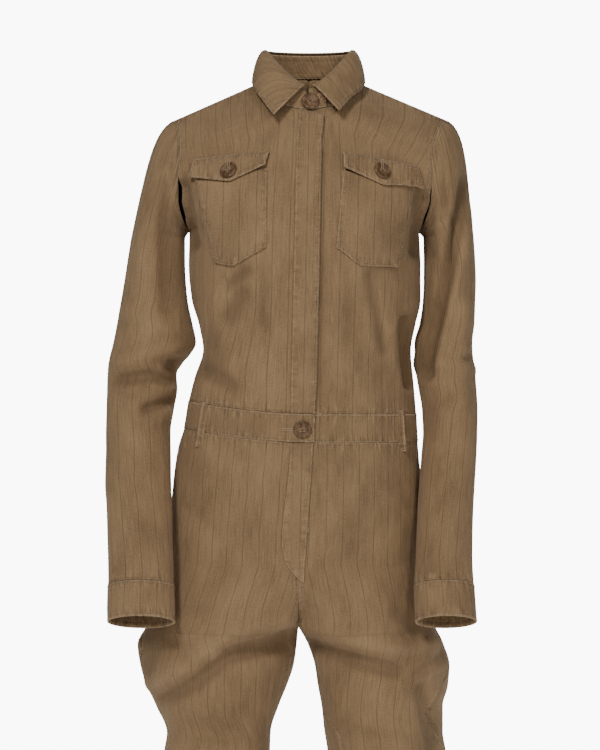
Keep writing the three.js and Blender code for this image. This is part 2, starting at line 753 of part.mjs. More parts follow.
function loopStrip(name, loop) {
  const upper = loop.face === "front" ? FRONTS : ["back"];
  const lower = loop.face === "front" ? LEG_FRONTS : ["leg_back_right", "leg_back_left"];
  const ends = [surfaceAt(upper, ...loop.top, loop.face), surfaceAt(lower, ...loop.bottom, loop.face)];
  const along = ends[1].point.clone().sub(ends[0].point);
  const normal = ends[0].normal.clone().add(ends[1].normal).normalize();
  const across = normal.clone().cross(along).normalize();
  const layer = (depth) => {
    const points = [];
    for (let row = 0; row <= LOOP.rows; row += 1) {
      const t = row / LOOP.rows;
      const lift = mix(0.9, LOOP.bow, ease(4 * Math.min(t, 1 - t)));
      const middle = ends[0].point.clone().addScaledVector(along, t).addScaledVector(normal, lift + depth);
      points.push([-1, 1].map((end) => middle.clone().addScaledVector(across, (end * LOOP.wide) / 2)));
    }
    return points;
  };
  add(name, closedWall(layer(LOOP.wall), layer(0), true), COLOURS.cloth);
}
Object.entries(LOOPS).forEach(([name, loop]) => loopStrip(name, loop));

// Fly strip below the waistband, its left edge free and its right edge curving in at the foot.
const FLY = { top: BAND_BOTTOM - 0.8, foot: -656, stitched: -19, free: 10.5, wide: 28 };
laidOn("fly", LEG_FRONTS, 3, 9, (u, v) => {
  const z = mix(FLY.top, FLY.foot, v);
  const right = mix(FLY.stitched, -30, ease(v * 1.4)) + 26 * clamp((v - 0.72) / 0.28) ** 2.4;
  const left = mix(FLY.free, -2, v);
  return [mix(right, Math.max(left, right + 2), u), z];
}, () => ON_TOP, CLOTH, COLOURS.cloth);

// Collar stand and leaf follow the neck seam, from the left end round the back to the right end.
// Angles are degrees from the centre front; the stand's steps are the bodice's own along the neck.
const STAND = { wall: 1.8, tabAngles: [12, 22], tabHeight: 0.62, tabForward: 2.6, tabProud: 0.6 };
const quarter = [0, 18, 36, 54, 72, 90, 112.5, 135, 157.5];
const neckAngles = [...quarter, 180, ...quarter.slice(1).map((angle) => -angle).reverse(), -0.001];

// Top of the stand, where the leaf folds over.
function foldLine(angle) {
  const side = Math.sign(angle) || 1;
  const turned = Math.abs(angle);
  const facing = Math.cos(turned * deg);
  const rise = turned < 90 ? Math.sin(turned * deg) ** 1.5 : 1;
  const x = NECK.x + side * 58 * Math.sin(turned * deg);
  return vec(x, facing > 0 ? -63 * facing : 54 * -facing, mix(-9, 47, rise) + (facing < 0 ? -4 * facing : 0));
}

function seamLine(angle) {
  return neckPoint(Math.sign(angle) || 1, Math.abs(angle));
}

function ringWall(name, angles, rows, at, wall, standOff, colour) {
  const points = [];
  for (let row = 0; row <= rows; row += 1) points.push(angles.map((angle, i) => at(angle, row / rows, i)));
  const part = { points, rows, columns: angles.length - 1, ring: false };
  setNormals([{ group: name, patches: [part], turned: false }]);
  const layer = (depth) => points.map((line, row) => line.map((point, i) =>
    point.clone().addScaledVector(part.normals[row][i], depth + standOff(i, row))));
  add(name, closedWall(layer(0), layer(-wall), false), colour);
}

// The right end runs on past the centre front as a tab over the left end.
ringWall("collar_stand", [...neckAngles, ...STAND.tabAngles], 3, (angle, height, i) => {
  const onTab = i >= neckAngles.length;
  const raised = seamLine(angle).lerp(foldLine(angle), mix(0.03, onTab ? STAND.tabHeight : 1, height));
  if (onTab) raised.y -= STAND.tabForward * ease(height * 2 + 0.4);
  return raised;
}, STAND.wall, (i) => (i >= neckAngles.length - 1 ? STAND.tabProud : 0), COLOURS.collar);

// Edge of the leaf by angle from the front: reach from the neck middle and height.
const leafEdge = {
  right: track("angle x y z", [
    [0, -47, -91, -46],
    [30, -62, -62, -24],
    [60, -73, -34, -6],
    [90, -77, -4, 7],
    [125, -70, 42, 11],
    [155, -42, 71, 9],
    [180, 0, 80, 8],
  ]),
  left: track("angle x y z", [
    [0, 40, -89, -40],
    [30, 57, -60, -20],
    [60, 72, -33, -5],
    [90, 76.5, -4, 7],
    [125, 70, 42, 11],
    [155, 42, 71, 9],
    [180, 0, 80, 8],
  ]),
};

const leafSteps = [4, 18, 32, 46, 60, 75, 90, 105, 120, 135, 150, 165];
const leafAngles = [...leafSteps, 180, ...leafSteps.map((a) => -a).reverse()];
ringWall("collar_leaf", leafAngles, 5, (angle, down) => {
  const name = angle < 0 ? "right" : "left";
  const turned = Math.abs(angle);
  const fold = foldLine(angle);
  const edge = leafEdge[name](((turned - 4) / 176) * 180);
  const low = vec(NECK.x + edge.x, edge.y, edge.z);
  const out = vec(fold.x - NECK.x, fold.y, 0).normalize();
  const start = fold.clone().add(vec(0, 0, 4.2));
  const shoulder = start.clone().addScaledVector(out, 11).add(vec(0, 0, 2));
  const fall = low.clone().lerp(start, 0.35).addScaledVector(out, 6);
  return new THREE.CubicBezierCurve3(start, shoulder, fall, low).getPoint(1 - down);
}, 2, () => 0, COLOURS.collar);

// Sewn-through buttons, turned to the cloth that they lie on.
const BUTTON = { radius: 11.6, thick: 2.4, rim: 0.8, hole: 1.1, spread: 2.3, sides: 24 };

function buttonGeometry() {
  const shape = new THREE.Shape();
  shape.absarc(0, 0, BUTTON.radius - BUTTON.rim, 0, 2 * Math.PI, false);
  for (let i = 0; i < 4; i += 1) {
    const turned = (45 + 90 * i) * deg;
    const hole = new THREE.Path();
    const reach = BUTTON.spread * Math.SQRT2;
    hole.absarc(reach * Math.cos(turned), reach * Math.sin(turned), BUTTON.hole, 0, 2 * Math.PI, true);
    shape.holes.push(hole);
  }
  const bevelled = { depth: BUTTON.thick - 2 * BUTTON.rim, bevelEnabled: true, bevelSegments: 1 };
  const size = { bevelThickness: BUTTON.rim, bevelSize: BUTTON.rim, curveSegments: 6 };
  const geometry = new THREE.ExtrudeGeometry(shape, { ...bevelled, ...size });
  return geometry.translate(0, 0, BUTTON.rim);
}

function addButton(name, point, normal, off, size = 1) {
  const geometry = buttonGeometry().scale(size, size, 1);
  const turn = new THREE.Quaternion().setFromUnitVectors(vec(0, 0, 1), normal);
  geometry.applyQuaternion(turn);
  const at = point.clone().addScaledVector(normal, off);
  geometry.translate(at.x, at.y, at.z);
  add(name, geometry, COLOURS.button, 0.45);
}

const BUTTONS = { right: [-97.5, -123], left: [98.3, -124] };
for (const [name, [x, z]] of Object.entries(BUTTONS)) {
  const { point, normal } = surfaceAt(FRONTS, x, z);
  addButton(`button_pocket_${name}`, point, normal, FLAP_OFF + CLOTH + 1.3);
}
const WAIST_BUTTON = { angle: 0, height: 0.44, off: 2.2 };
const waist = bandSurface(WAIST_BUTTON.angle, WAIST_BUTTON.height);
addButton("button_waist", waist.point, waist.normal, WAIST_BUTTON.off);
const COLLAR_BUTTON = { at: [7, -73.6, -27], tilt: 22 };
addButton("button_collar", vec(...COLLAR_BUTTON.at),
  vec(0, -Math.cos(COLLAR_BUTTON.tilt * deg), Math.sin(COLLAR_BUTTON.tilt * deg)), 0);

export default suit;
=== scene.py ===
import math

import bmesh
import bpy
import numpy as np
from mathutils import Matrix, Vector
from mathutils.bvhtree import BVHTree


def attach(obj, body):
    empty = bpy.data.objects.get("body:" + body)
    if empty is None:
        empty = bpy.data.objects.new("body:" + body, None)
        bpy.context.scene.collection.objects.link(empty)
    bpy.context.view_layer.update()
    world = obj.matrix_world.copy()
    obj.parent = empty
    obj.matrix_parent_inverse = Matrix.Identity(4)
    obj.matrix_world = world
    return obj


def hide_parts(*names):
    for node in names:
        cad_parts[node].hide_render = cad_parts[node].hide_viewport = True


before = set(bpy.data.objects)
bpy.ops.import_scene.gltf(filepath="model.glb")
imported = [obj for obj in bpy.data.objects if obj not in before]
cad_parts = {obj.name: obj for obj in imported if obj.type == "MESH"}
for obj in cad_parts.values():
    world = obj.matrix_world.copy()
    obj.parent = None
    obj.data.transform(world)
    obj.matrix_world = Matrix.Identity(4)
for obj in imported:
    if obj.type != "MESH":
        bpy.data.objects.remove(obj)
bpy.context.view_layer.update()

# Sizes are in millimetres up to the meshes. Left and right are the wearer's, left is +X.
CLOTH = 1.4
GRID = 4.6

LEAN = 0.0218
LEAN_ZERO = -295
LEAN_TOP = -20
WAIST_SEAM = -438
BAND_BOTTOM = -475
ARMPIT = -195
CROTCH = -726
RISE_CURVE = 90
HEM = -1362
SIDES = {"right": -1, "left": 1}
FORWARD = (0.0, -1.0, 0.0)

FOLD_FADE = 40
CUFF_PROUD = 0.9
PATCH_HEIGHT = 2.2
STITCH_LIFT = 0.25
NO_SEAM = 60.0
ARM_RADII = (36.5, 60)


def mix(a, b, t):
    return a + (b - a) * t


def clamp(value, low=0.0, high=1.0):
    return np.clip(value, low, high)


def ease(t):
    c = clamp(t)
    return c * c * (3 - 2 * c)


def sin(degrees):
    return np.sin(np.radians(degrees))


def cos(degrees):
    return np.cos(np.radians(degrees))


def vec(x, y, z):
    return np.stack(np.broadcast_arrays(x, y, z), axis=-1).astype(float)


def unit(v):
    return v / np.maximum(np.linalg.norm(v, axis=-1, keepdims=True), 1e-9)


def curve(a, b, c, d, t):
    """A soft curve from a to d, which leaves towards b and arrives from c."""
    return a * (1 - t) ** 3 + 3 * b * t * (1 - t) ** 2 + 3 * c * t**2 * (1 - t) + d * t**3


def track(columns, rows):
    """A table with named columns as smooth functions of its first column."""
    table = np.array(rows, float)
    keys, values = table[:, 0], table[:, 1:]
    slopes = np.diff(values, axis=0) / np.diff(keys)[:, None]
    before, after = slopes[:-1], slopes[1:]
    both = before * after
    inner = np.where(both > 0, 2 * both / np.where(both > 0, before + after, 1), 0)
    tangents = np.vstack([slopes[:1], inner, slopes[-1:]])
    sign = -1 if keys[-1] < keys[0] else 1
    names = columns.split()[1:]

    def at(key):
        key = np.asarray(key, float)
        i = np.clip(np.searchsorted(sign * keys, sign * key, side="right") - 1, 0, len(keys) - 2)
        span = keys[i + 1] - keys[i]
        t = clamp((key - keys[i]) / span)[..., None]
        rise = 3 * t**2 - 2 * t**3
        smooth = mix(values[i], values[i + 1], rise)
        turn = tangents[i] * (t**3 - 2 * t**2 + t) + tangents[i + 1] * (t**3 - t**2)
        found = smooth + turn * span[..., None]
        return {name: found[..., c] for c, name in enumerate(names)}

    return at


bodice_trunk = track("z right left front back", [
    [-438, -157, 150, -112, 98], [-400, -148, 147, -108, 93], [-355, -137.5, 143, -106, 90],
    [-320, -143, 149, -110, 92], [-285, -153, 156, -116, 97], [-240, -157, 156, -123, 103],
    [-195, -156, 154, -125, 107],
])
front_centre = track("z y", [[-195, -125], [-150, -121], [-100, -106], [-60, -87], [-38, -75]])
back_centre = track("z y", [[-195, 107], [-130, 109], [-70, 99], [-20, 79], [18, 58]])
armhole = {
    "front": track("part right left y z", [
        [0, -172, 187, 0, -42], [0.12, -169, 178, -22, -60], [0.3, -167, 170, -44, -88],
        [0.5, -168, 168, -55, -122], [0.7, -168, 167, -50, -155], [0.87, -162, 160, -30, -182],
        [1, -156, 154, 0, ARMPIT],
    ]),
    "back": track("part right left y z", [
        [0, -172, 187, 0, -42], [0.12, -173, 184, 22, -60], [0.3, -170, 176, 42, -90],
        [0.5, -168, 170, 52, -122], [0.7, -165, 166, 48, -155], [0.87, -160, 159, 28, -182],
        [1, -156, 154, 0, ARMPIT],
    ]),
}
NECK = {"x": 5, "half": 64, "side": 8, "front": -75, "back": 58, "drop": 46, "rise": 10}
hips = track("z right left front back", [
    [-475, -163, 152, -115, 100], [-500, -171, 154, -119, 108], [-528, -176, 157, -121, 116],
    [-580, -182, 160, -121, 125], [-636, -189, 163, -117, 125], [-680, -199, 166, -112, 120],
    [-726, -214, 175, -108, 116],
])
legs = {
    "right": track("z inner outer front back in_turn out_turn", [
        [-726, -9, -214, -108, 116, 0, 0], [-750, -11, -226, -106, 117, 14, 24],
        [-778, -15, -222, -102, 117, 22, 8], [-805, -24, -213, -98, 115, 20, 0],
        [-832, -35, -201, -98, 112, 8, 3], [-868, -46, -186, -103, 108, 0, 34],
        [-894, -47, -190, -106, 106, 2, 38], [-980, -41, -198, -104, 104, 8, 16],
        [-1080, -35, -193, -96, 98, 6, 4], [-1200, -31, -176, -80, 86, 2, 0],
        [-1300, -30, -161, -66, 72, 0, 0], [HEM, -31, -156, -60, 66, 0, 0],
    ]),
    "left": track("z inner outer front back in_turn out_turn", [
        [-726, -9, 175, -108, 116, 0, 0], [-750, 4, 187, -107, 117, 2, 2],
        [-778, 13, 195, -103, 117, 10, 14], [-805, 17, 193, -101, 115, 19, 38],
        [-832, 22, 186, -101, 112, 17, 41], [-868, 26, 186, -104, 109, 42, 27],
        [-894, 30, 190, -106, 106, 40, 16], [-980, 33, 196, -104, 104, 14, 4],
        [-1080, 33, 191, -96, 98, 5, 0], [-1200, 33, 176, -80, 86, 0, 0], [-1300, 36, 162, -66, 72, 0, 0],
        [HEM, 39, 158, -60, 66, 0, 0],
    ]),
}
ARM_COLUMNS = "z y outer inner depth tilt"
ARM_ROWS = {
    "right": [
        [-205, 2, -235, -162, 60, 4], [-235, 3, -240, -162, 61, 2], [-260, 4, -244, -161, 60, 0],
        [-290, 4, -249, -158, 59, 0], [-318, 4, -254, -152, 58, 0], [-344, 2, -259, -147, 56, 2],
        [-362, 0, -263, -157, 52, 6], [-379, -1, -266, -174, 49, 9], [-405, -3, -267, -172, 50, 14],
        [-432, -11, -267, -176, 49, 16], [-462, -21, -267, -180, 46, 18], [-495, -33, -266, -179, 44, 19],
        [-529, -45, -266, -178, 42, 19], [-565, -57, -263, -176, 41, 19], [-600, -69, -261, -175, 39, 19],
        [-634, -81, -259, -173, 37, 19], [-664, -91, -258, -172, 36, 19],
        [-688, -99, -258, -171, 36.5, 19], [-709, -107, -257, -170, 37, 19],
    ],
    "left": [
        [-205, 2, 228, 160, 60, 4], [-235, 3, 230, 160.5, 61, 2], [-260, 4, 231, 160.5, 60, 0],
        [-290, 4, 230, 159, 59, 0], [-318, 4, 229, 155, 58, 0], [-344, 3, 226, 148, 56, 2],
        [-362, 2, 227, 148, 53, 5], [-378, 0, 229, 149, 50, 9], [-405, -4, 231, 153, 50, 14],
        [-432, -12, 232, 157, 49, 16], [-462, -22, 231, 158, 46, 18], [-495, -33, 229, 155, 44, 19],
        [-529, -45, 226, 152, 42, 19], [-565, -57, 223, 149, 41, 19], [-600, -69, 221, 147, 39, 19],
        [-634, -81, 220, 145, 37, 19], [-664, -91, 221, 143, 36, 19], [-688, -99, 222, 143.5, 36.5, 19],
        [-709, -107, 223, 144, 37, 19],
    ],
}
arms = {name: track(ARM_COLUMNS, rows) for name, rows in ARM_ROWS.items()}
CAP = {"rows": 6, "leave": 0.2, "arrive": 0.55, "dip": 0.25, "flare": {"right": 0.21, "left": 0.105}}
LOW_ROWS = 9
UP_ROWS = 10
BODICE_ROWS = LOW_ROWS + UP_ROWS
NECK_ROW = {"front": LOW_ROWS + 5, "back": LOW_ROWS + 6}
SHOULDER_BOW = 35
AROUND_ARM = 20
HIP_ROWS = 5
CURVE_ROWS = 5
THIGH = {"rows": 9, "step": 17.5}
SHIN_ROWS = 7
TROUSER_ROWS = HIP_ROWS + CURVE_ROWS + THIGH["rows"] + SHIN_ROWS
HIP_TOP = CROTCH + RISE_CURVE
CUFF_ROWS = 2
SLEEVE_ROWS = CAP["rows"] + len(ARM_ROWS["right"]) - 1 - CUFF_ROWS


def centre_x(z):
    return -LEAN * (LEAN_ZERO - np.minimum(z, LEAN_TOP))


def hike(p):
    """The right hip stands higher, which lifts the waist seams there."""
    x, z = p[..., 0], p[..., 2]
    near = ease((z + 620) / 130) * ease((-330 - z) / 90)
    lifted = 15.5 * clamp((-x - 4) / 152) ** 1.6 - 1.5 * clamp(x / 150)
    return vec(x, p[..., 1], z + near * lifted)


def neck_point(side, angle):
    facing = cos(angle)
    reach = np.where(facing > 0, NECK["front"], NECK["back"])
    height = np.where(facing > 0, -NECK["drop"], NECK["rise"])
    x = NECK["x"] + side * NECK["half"] * sin(angle)
    return vec(x, reach * abs(facing), NECK["side"] + height * abs(facing))


def choose(*cases):
    """The first point whose condition holds, for each place in the grid."""
    found = cases[-1]
    for condition, point in reversed(cases[:-1]):
        found = np.where(np.asarray(condition)[..., None], point, found)
    return found


def bodice_middle(face, side, row):
    neck_row = NECK_ROW[face]
    low_z = mix(WAIST_SEAM, ARMPIT, row / LOW_ROWS)
    low = vec(centre_x(low_z), bodice_trunk(low_z)[face], low_z)
    top = neck_point(side, 0 if face == "front" else 180)[..., 2]
    z = mix(ARMPIT, top, (row - LOW_ROWS) / (neck_row - LOW_ROWS))
    y = (front_centre if face == "front" else back_centre)(z)["y"]
    chest = vec(mix(centre_x(z), NECK["x"], ease((z - ARMPIT) / 150)), y, z)
    turn = clamp(90 * (row - neck_row) / (BODICE_ROWS - neck_row), 0, 90)
    neck = neck_point(side, turn if face == "front" else 180 - turn)
    return choose((row <= LOW_ROWS, low), (row <= neck_row, chest), neck)


def bodice_edge(face, side, row):
    name = "right" if side < 0 else "left"
    z = mix(WAIST_SEAM, ARMPIT, row / LOW_ROWS)
    low = vec(bodice_trunk(z)[name], 0, z)
    seam = armhole[face](clamp(1 - (row - LOW_ROWS) / UP_ROWS))
    return choose((row <= LOW_ROWS, low), vec(seam[name], seam["y"], seam["z"]))


def bodice_point(face, side, across, row):
    middle, edge = bodice_middle(face, side, row), bodice_edge(face, side, row)
    bow = mix(90, SHOULDER_BOW, clamp((row - LOW_ROWS) / UP_ROWS))
    along = sin(across * bow) / sin(bow)
    rounded = (cos(across * bow) - cos(bow)) / (1 - cos(bow))
    x = mix(middle[..., 0], edge[..., 0], along)
    y = mix(edge[..., 1], middle[..., 1], rounded)
    return hike(vec(x, y, mix(middle[..., 2], edge[..., 2], along)))


def band_point(angle, height):
    """The waistband's surface, by degrees from the centre front towards the wearer's left."""
    low, high = hips(BAND_BOTTOM), bodice_trunk(WAIST_SEAM)
    z = mix(BAND_BOTTOM, WAIST_SEAM, height)
    sideways, facing = sin(angle), cos(angle)

    def pick(values, case, first, second):
        return np.where(case, values[first], values[second])

    side, face = (sideways < 0, "right", "left"), (facing > 0, "front", "back")
    half = mix(pick(low, *side) - centre_x(BAND_BOTTOM), pick(high, *side) - centre_x(WAIST_SEAM), height)
    depth = mix(pick(low, *face), pick(high, *face), height)
    return hike(vec(centre_x(z) + half * abs(sideways), abs(facing) * depth, z))


def trouser_point(face, side, across, row):
    name = "right" if side < 0 else "left"
    turn = clamp((row - HIP_ROWS) / CURVE_ROWS) * 90
    seam = sin(turn)
    angle = mix(-turn, 90, across)
    step = row - HIP_ROWS - CURVE_ROWS
    low_thigh = CROTCH - THIGH["step"] * THIGH["rows"]
    shin = mix(low_thigh, HEM, (step - THIGH["rows"]) / SHIN_ROWS)
    leg_z = np.where(step <= THIGH["rows"], CROTCH - THIGH["step"] * step, shin)
    z = np.where(row <= HIP_ROWS, mix(BAND_BOTTOM, HIP_TOP, row / HIP_ROWS), CROTCH + RISE_CURVE * (1 - seam))
    z = np.where(step > 0, leg_z, z)
    upper = hips(z)
    reach = upper[name] - centre_x(z)
    hip = vec(centre_x(z) + reach * (seam + sin(angle)) / (1 + seam), upper[face] * cos(angle), z)
    lower = legs[name](z)
    more = -1 if face == "front" else 1
    angle = mix(-90 - more * lower["in_turn"], 90 + more * lower["out_turn"], across)
    depth = np.where(cos(angle) < 0, lower["back" if face == "front" else "front"], lower[face])
    leg = vec(mix(lower["inner"], lower["outer"], (1 + sin(angle)) / 2), depth * abs(cos(angle)), z)
    return choose((z >= CROTCH, hike(hip)), leg)


def arm_point(name, turn, z):
    s = arms[name](z)
    x = (s["outer"] + s["inner"]) / 2 + (s["outer"] - s["inner"]) / 2 * cos(turn)
    forward = s["depth"] * sin(turn)
    return vec(x, s["y"] - forward * cos(s["tilt"]), z + forward * sin(s["tilt"]))


def sleeve_point(name, around, row):
    """around runs from 0 at the shoulder over the front to 1 at the shoulder again."""
    side = SIDES[name]
    turn, step = 360 * around, AROUND_ARM * around
    heights = [r[0] for r in ARM_ROWS[name]]
    z = np.interp(row - CAP["rows"], range(len(heights)), heights)
    arm = arm_point(name, turn, z)
    front = bodice_edge("front", side, BODICE_ROWS - step)
    back = bodice_edge("back", side, BODICE_ROWS - (AROUND_ARM - step))
    start = choose((step <= AROUND_ARM / 2, front), back)
    end = arm_point(name, turn, np.full_like(turn, heights[0], dtype=float))
    upper = (1 + cos(turn)) / 2
    reach = np.linalg.norm(end - start, axis=-1, keepdims=True)
    leave = unit(vec(side * upper, -0.25 * sin(turn), -CAP["dip"] - (1 - upper)))
    arrive = unit(vec(side * CAP["flare"][name] * upper, 0, -1))
    first, second = start + leave * reach * CAP["leave"], end - arrive * reach * CAP["arrive"]
    t = clamp(row / CAP["rows"])[..., None]
    cap = curve(start, first, second, end, t)
    return choose((row >= CAP["rows"], arm), cap)


# Folds as strokes in the front view: a line in X and Z, its half width and its height.
# A negative height is a trough. They are listed by part and by the side of the cloth that they mark.
FOLDS = {
    ("legs", "front"): [
        (-28, -709, -90, -721, 13, 8), (-90, -721, -135, -747, 14, 8), (-135, -747, -200, -797, 14, 9),
        (-30, -741, -98, -751, 13, -11), (-98, -751, -145, -791, 12, -9), (-145, -791, -188, -813, 12, -7),
        (-168, -742, -150, -760, 11, -5), (-95, -846, -145, -846, 24, -4), (-85, -898, -160, -884, 28, 10),
        (0, -718, 44, -729, 12, 6), (44, -729, 124, -743, 12, 9), (124, -746, 186, -736, 11, 6),
        (10, -746, 52, -758, 12, -7), (52, -758, 118, -773, 12, -9), (122, -700, 148, -722, 13, -6),
        (152, -800, 170, -872, 11, -7), (124, -762, 130, -812, 5, 2.2), (136, -764, 143, -800, 4, 2),
        (128, -772, 178, -744, 5, 2.4), (140, -780, 186, -756, 5, -2.4), (148, -786, 184, -772, 4, 1.6),
        (12, -640, -3, -706, 6, -3), (13, -490, 22, -560, 8, -3), (22, -560, 14, -640, 7, -2),
        (38, -500, 42, -620, 13, 1.6), (128, -532, 140, -566, 5, -1.6), (-128, -496, -98, -508, 8, 1.8),
        (-112, -512, -72, -538, 17, -2), (-146, -520, -90, -560, 9, 1.4), (-160, -560, -120, -590, 8, -1.5),
        (-120, -690, -170, -700, 12, -2), (-42, -606, -100, -622, 6, 0.9), (60, -640, 130, -622, 8, 1.1),
        (-70, -958, -165, -948, 14, 3), (-65, -1002, -150, -1016, 12, -3), (60, -950, 160, -966, 14, 3),
        (65, -1012, 155, -1000, 12, -3), (-60, -1240, -140, -1262, 12, -3),
        (-55, -1292, -130, -1284, 11, 3), (50, -1252, 140, -1236, 12, -3), (55, -1294, 140, -1302, 11, 3),
    ],
    ("legs", "back"): [
        (-30, -700, -150, -748, 15, 8), (-40, -742, -150, -790, 14, -10), (20, -706, 140, -752, 15, 8),
        (30, -748, 140, -794, 14, -10), (-12, -652, -62, -608, 10, -4), (6, -655, 52, -612, 10, -4),
        (-90, -520, -140, -560, 12, -2.5), (84, -516, 130, -560, 12, -2.5), (-50, -932, -170, -950, 12, -5),
        (-55, -958, -175, -974, 12, 4), (50, -938, 170, -926, 12, -5), (55, -962, 170, -952, 12, 4),
        (-60, -1012, -150, -1032, 12, -3), (60, -1016, 150, -1036, 12, -3),
        (-55, -1270, -140, -1250, 12, -3), (52, -1256, 140, -1274, 12, -3),
    ],
    ("right", "front"): [
        (-246, -392, -203, -387, 9, -9), (-203, -387, -174, -397, 8, -9), (-246, -366, -180, -352, 14, 5),
        (-236, -300, -176, -330, 12, 4), (-178, -374, -152, -384, 9, -8), (-176, -398, -171, -412, 5, 3),
        (-210, -432, -174, -421, 8, -9), (-214, -446, -182, -440, 9, 3), (-184, -341, -158, -343, 8, -3),
        (-248, -411, -232, -413, 7, -2.5), (-175.5, -306, -176, -341, 3, -2),
        (-190, -98, -178, -110, 11, -2.5), (-188, -135, -184, -300, 13, -6),
        (-212, -150, -222, -290, 13, 2), (-200, -250, -186, -300, 8, -2), (-236, -520, -200, -556, 9, 1.5),
        (-252, -560, -214, -572, 7, -1.2), (-244, -640, -204, -634, 8, -1.4),
    ],
    ("right", "back"): [
        (-250, -380, -180, -372, 14, 8), (-250, -330, -182, -346, 8, -4), (-255, -410, -185, -426, 9, -5),
        (-250, -452, -190, -440, 8, 3), (-205, -150, -225, -260, 12, -3), (-250, -560, -200, -584, 9, -2.5),
    ],
    ("left", "front"): [
        (216, -128, 206, -178, 8, -12), (206, -178, 192, -236, 9, -19), (192, -236, 176, -305, 9, -17),
        (176, -305, 160, -384, 9, -16), (208, -236, 190, -306, 6, 3.5), (190, -306, 172, -372, 6, 3.5),
        (224, -160, 214, -230, 6, 3), (184, -134, 188, -163, 7, -3.5), (171, -143, 176, -198, 5, 2.5),
        (161, -176, 167, -228, 7, -4), (212, -300, 206, -420, 12, 5), (234, -356, 212, -366, 6, -5),
        (222, -392, 190, -404, 10, -2), (168, -410, 164, -470, 8, -2.5), (206, -520, 180, -560, 9, 1.4),
        (212, -624, 176, -632, 8, -1.4),
    ],
    ("left", "back"): [
        (226, -380, 160, -372, 14, 8), (224, -336, 164, -348, 8, -4), (226, -412, 164, -424, 9, -5),
        (218, -150, 206, -260, 12, -3), (216, -560, 170, -580, 9, -2.5),
    ],
    ("body", "front"): [
        (-80, -165, -84, -185, 42, 6), (84, -165, 88, -185, 42, 6), (-102, -256, -119, -290, 6, 4),
        (-78, -252, -106, -272, 9, -6), (-84, -284, -104, -312, 14, -6), (-130, -382, -99, -402, 13, -7),
        (-99, -391, -50, -420, 8, -2.6), (-140, -402, -112, -424, 7, 2), (-56, -222, -58, -322, 6, -4),
        (-40, -230, -43, -400, 9, 2.4), (-163, -140, -150, -212, 10, -10), (-157, -180, -136, -206, 4, 2.4),
        (-155, -196, -140, -217, 4, -2.4), (-154, -222, -116, -220, 3.4, -1.4),
        (-118, -300, -98, -372, 9, 1.6), (-84, -330, -72, -420, 9, 1.2), (22, -96, 20, -300, 8, -5),
        (20, -300, 20, -424, 8, -4), (42, -206, 46, -420, 9, 3), (35, -120, 34, -220, 4, -1.4),
        (84, -256, 106, -356, 7, -5), (70, -256, 91, -352, 7, 2.8), (104, -350, 100, -400, 8, -1.4),
        (154, -150, 148, -222, 10, -10), (139, -146, 150, -176, 8, -3.4), (144, -292, 122, -318, 6, 3),
        (133, -316, 140, -398, 8, -13), (117, -326, 119, -372, 6, 3), (119, -372, 130, -404, 6, 2),
        (112, -262, 140, -280, 8, 2),
    ],
    ("body", "back"): [
        (-110, -378, -20, -352, 20, 6), (20, -352, 112, -378, 20, 6), (-112, -336, -30, -318, 20, -5),
        (30, -318, 112, -336, 20, -5), (-42, -130, -48, -222, 14, 2), (46, -134, 50, -226, 14, 2),
        (0, -150, -2, -300, 16, -2), (-134, -196, -100, -262, 9, -3), (132, -198, 102, -264, 9, -3),
        (-92, -404, -30, -416, 8, -3), (26, -418, 98, -402, 8, -3),
    ],
}


def fold_height(group, points, normals):
    ridge = np.zeros(points.shape[:-1])
    trough = ridge.copy()
    x, z = points[..., 0], points[..., 2]
    for face, outwards in (("front", -1), ("back", 1)):
        facing = ease(outwards * normals[..., 1] * 2.5)
        for from_x, from_z, to_x, to_z, wide, high in FOLDS[group, face]:
            dx, dz = to_x - from_x, to_z - from_z
            t = clamp(((x - from_x) * dx + (z - from_z) * dz) / (dx * dx + dz * dz))
            away = np.hypot(x - from_x - t * dx, z - from_z - t * dz)
            mark = high * np.exp(-((away / wide) ** 2)) * facing
            ridge, trough = np.maximum(ridge, mark), np.minimum(trough, mark)
    return ridge + trough


def lengths(points, axis):
    """How far each point of a grid is along its row or column."""
    step = np.linalg.norm(np.diff(points, axis=axis), axis=-1)
    start = np.zeros_like(np.take(step, [0], axis=axis))
    return np.concatenate([start, np.cumsum(step, axis=axis)], axis=axis)


def even(at, count):
    """Values from 0 to 1 that split the path at(t) into steps of equal length."""
    t = np.linspace(0, 1, 600)
    along = lengths(at(t)[None], 1)[0]
    return np.interp(np.linspace(0, along[-1], count + 1), along, t)


def normals_of(points, outwards, ring=False):
    if ring:
        wrapped = np.concatenate([points[:, -2:-1], points, points[:, 1:2]], axis=1)
        over = (wrapped[:, 2:] - wrapped[:, :-2]) / 2
    else:
        over = np.gradient(points, axis=1)
    return unit(np.cross(over, np.gradient(points, axis=0))) * outwards


class Sheet:
    """A grid of points over a piece of cloth: columns run across, rows run along the grain."""

    def __init__(self, name, points, outwards, ring=False, normals=None):
        self.name, self.points, self.ring, self.outwards = name, points, ring, outwards
        self.normals = normals_of(points, outwards, ring) if normals is None else normals
        self.across = lengths(points, 1)
        self.along = lengths(points, 0)
        self.height = np.zeros(points.shape[:-1])

    def raise_by(self, height):
        self.points = self.points + self.normals * height[..., None]
        self.height = self.height + height
        self.normals = normals_of(self.points, self.outwards, self.ring)


sheets = {}


def grid(name, at, columns_at, rows_at, outwards, ring=False, step=GRID):
    """Samples at(across, along), both from 0 to 1, in steps of about the given length."""
    def across_path(t):
        return at(t, np.full_like(t, columns_at))

    def along_path(t):
        return at(np.full_like(t, rows_at), t)

    splits = []
    for path, least in ((across_path, 4), (along_path, 3)):
        reach = lengths(path(np.linspace(0, 1, 200))[None], 1)[0][-1]
        splits.append(even(path, max(least, round(reach / step))))
    sheets[name] = Sheet(name, at(*np.meshgrid(*splits)), outwards, ring)
    return sheets[name]


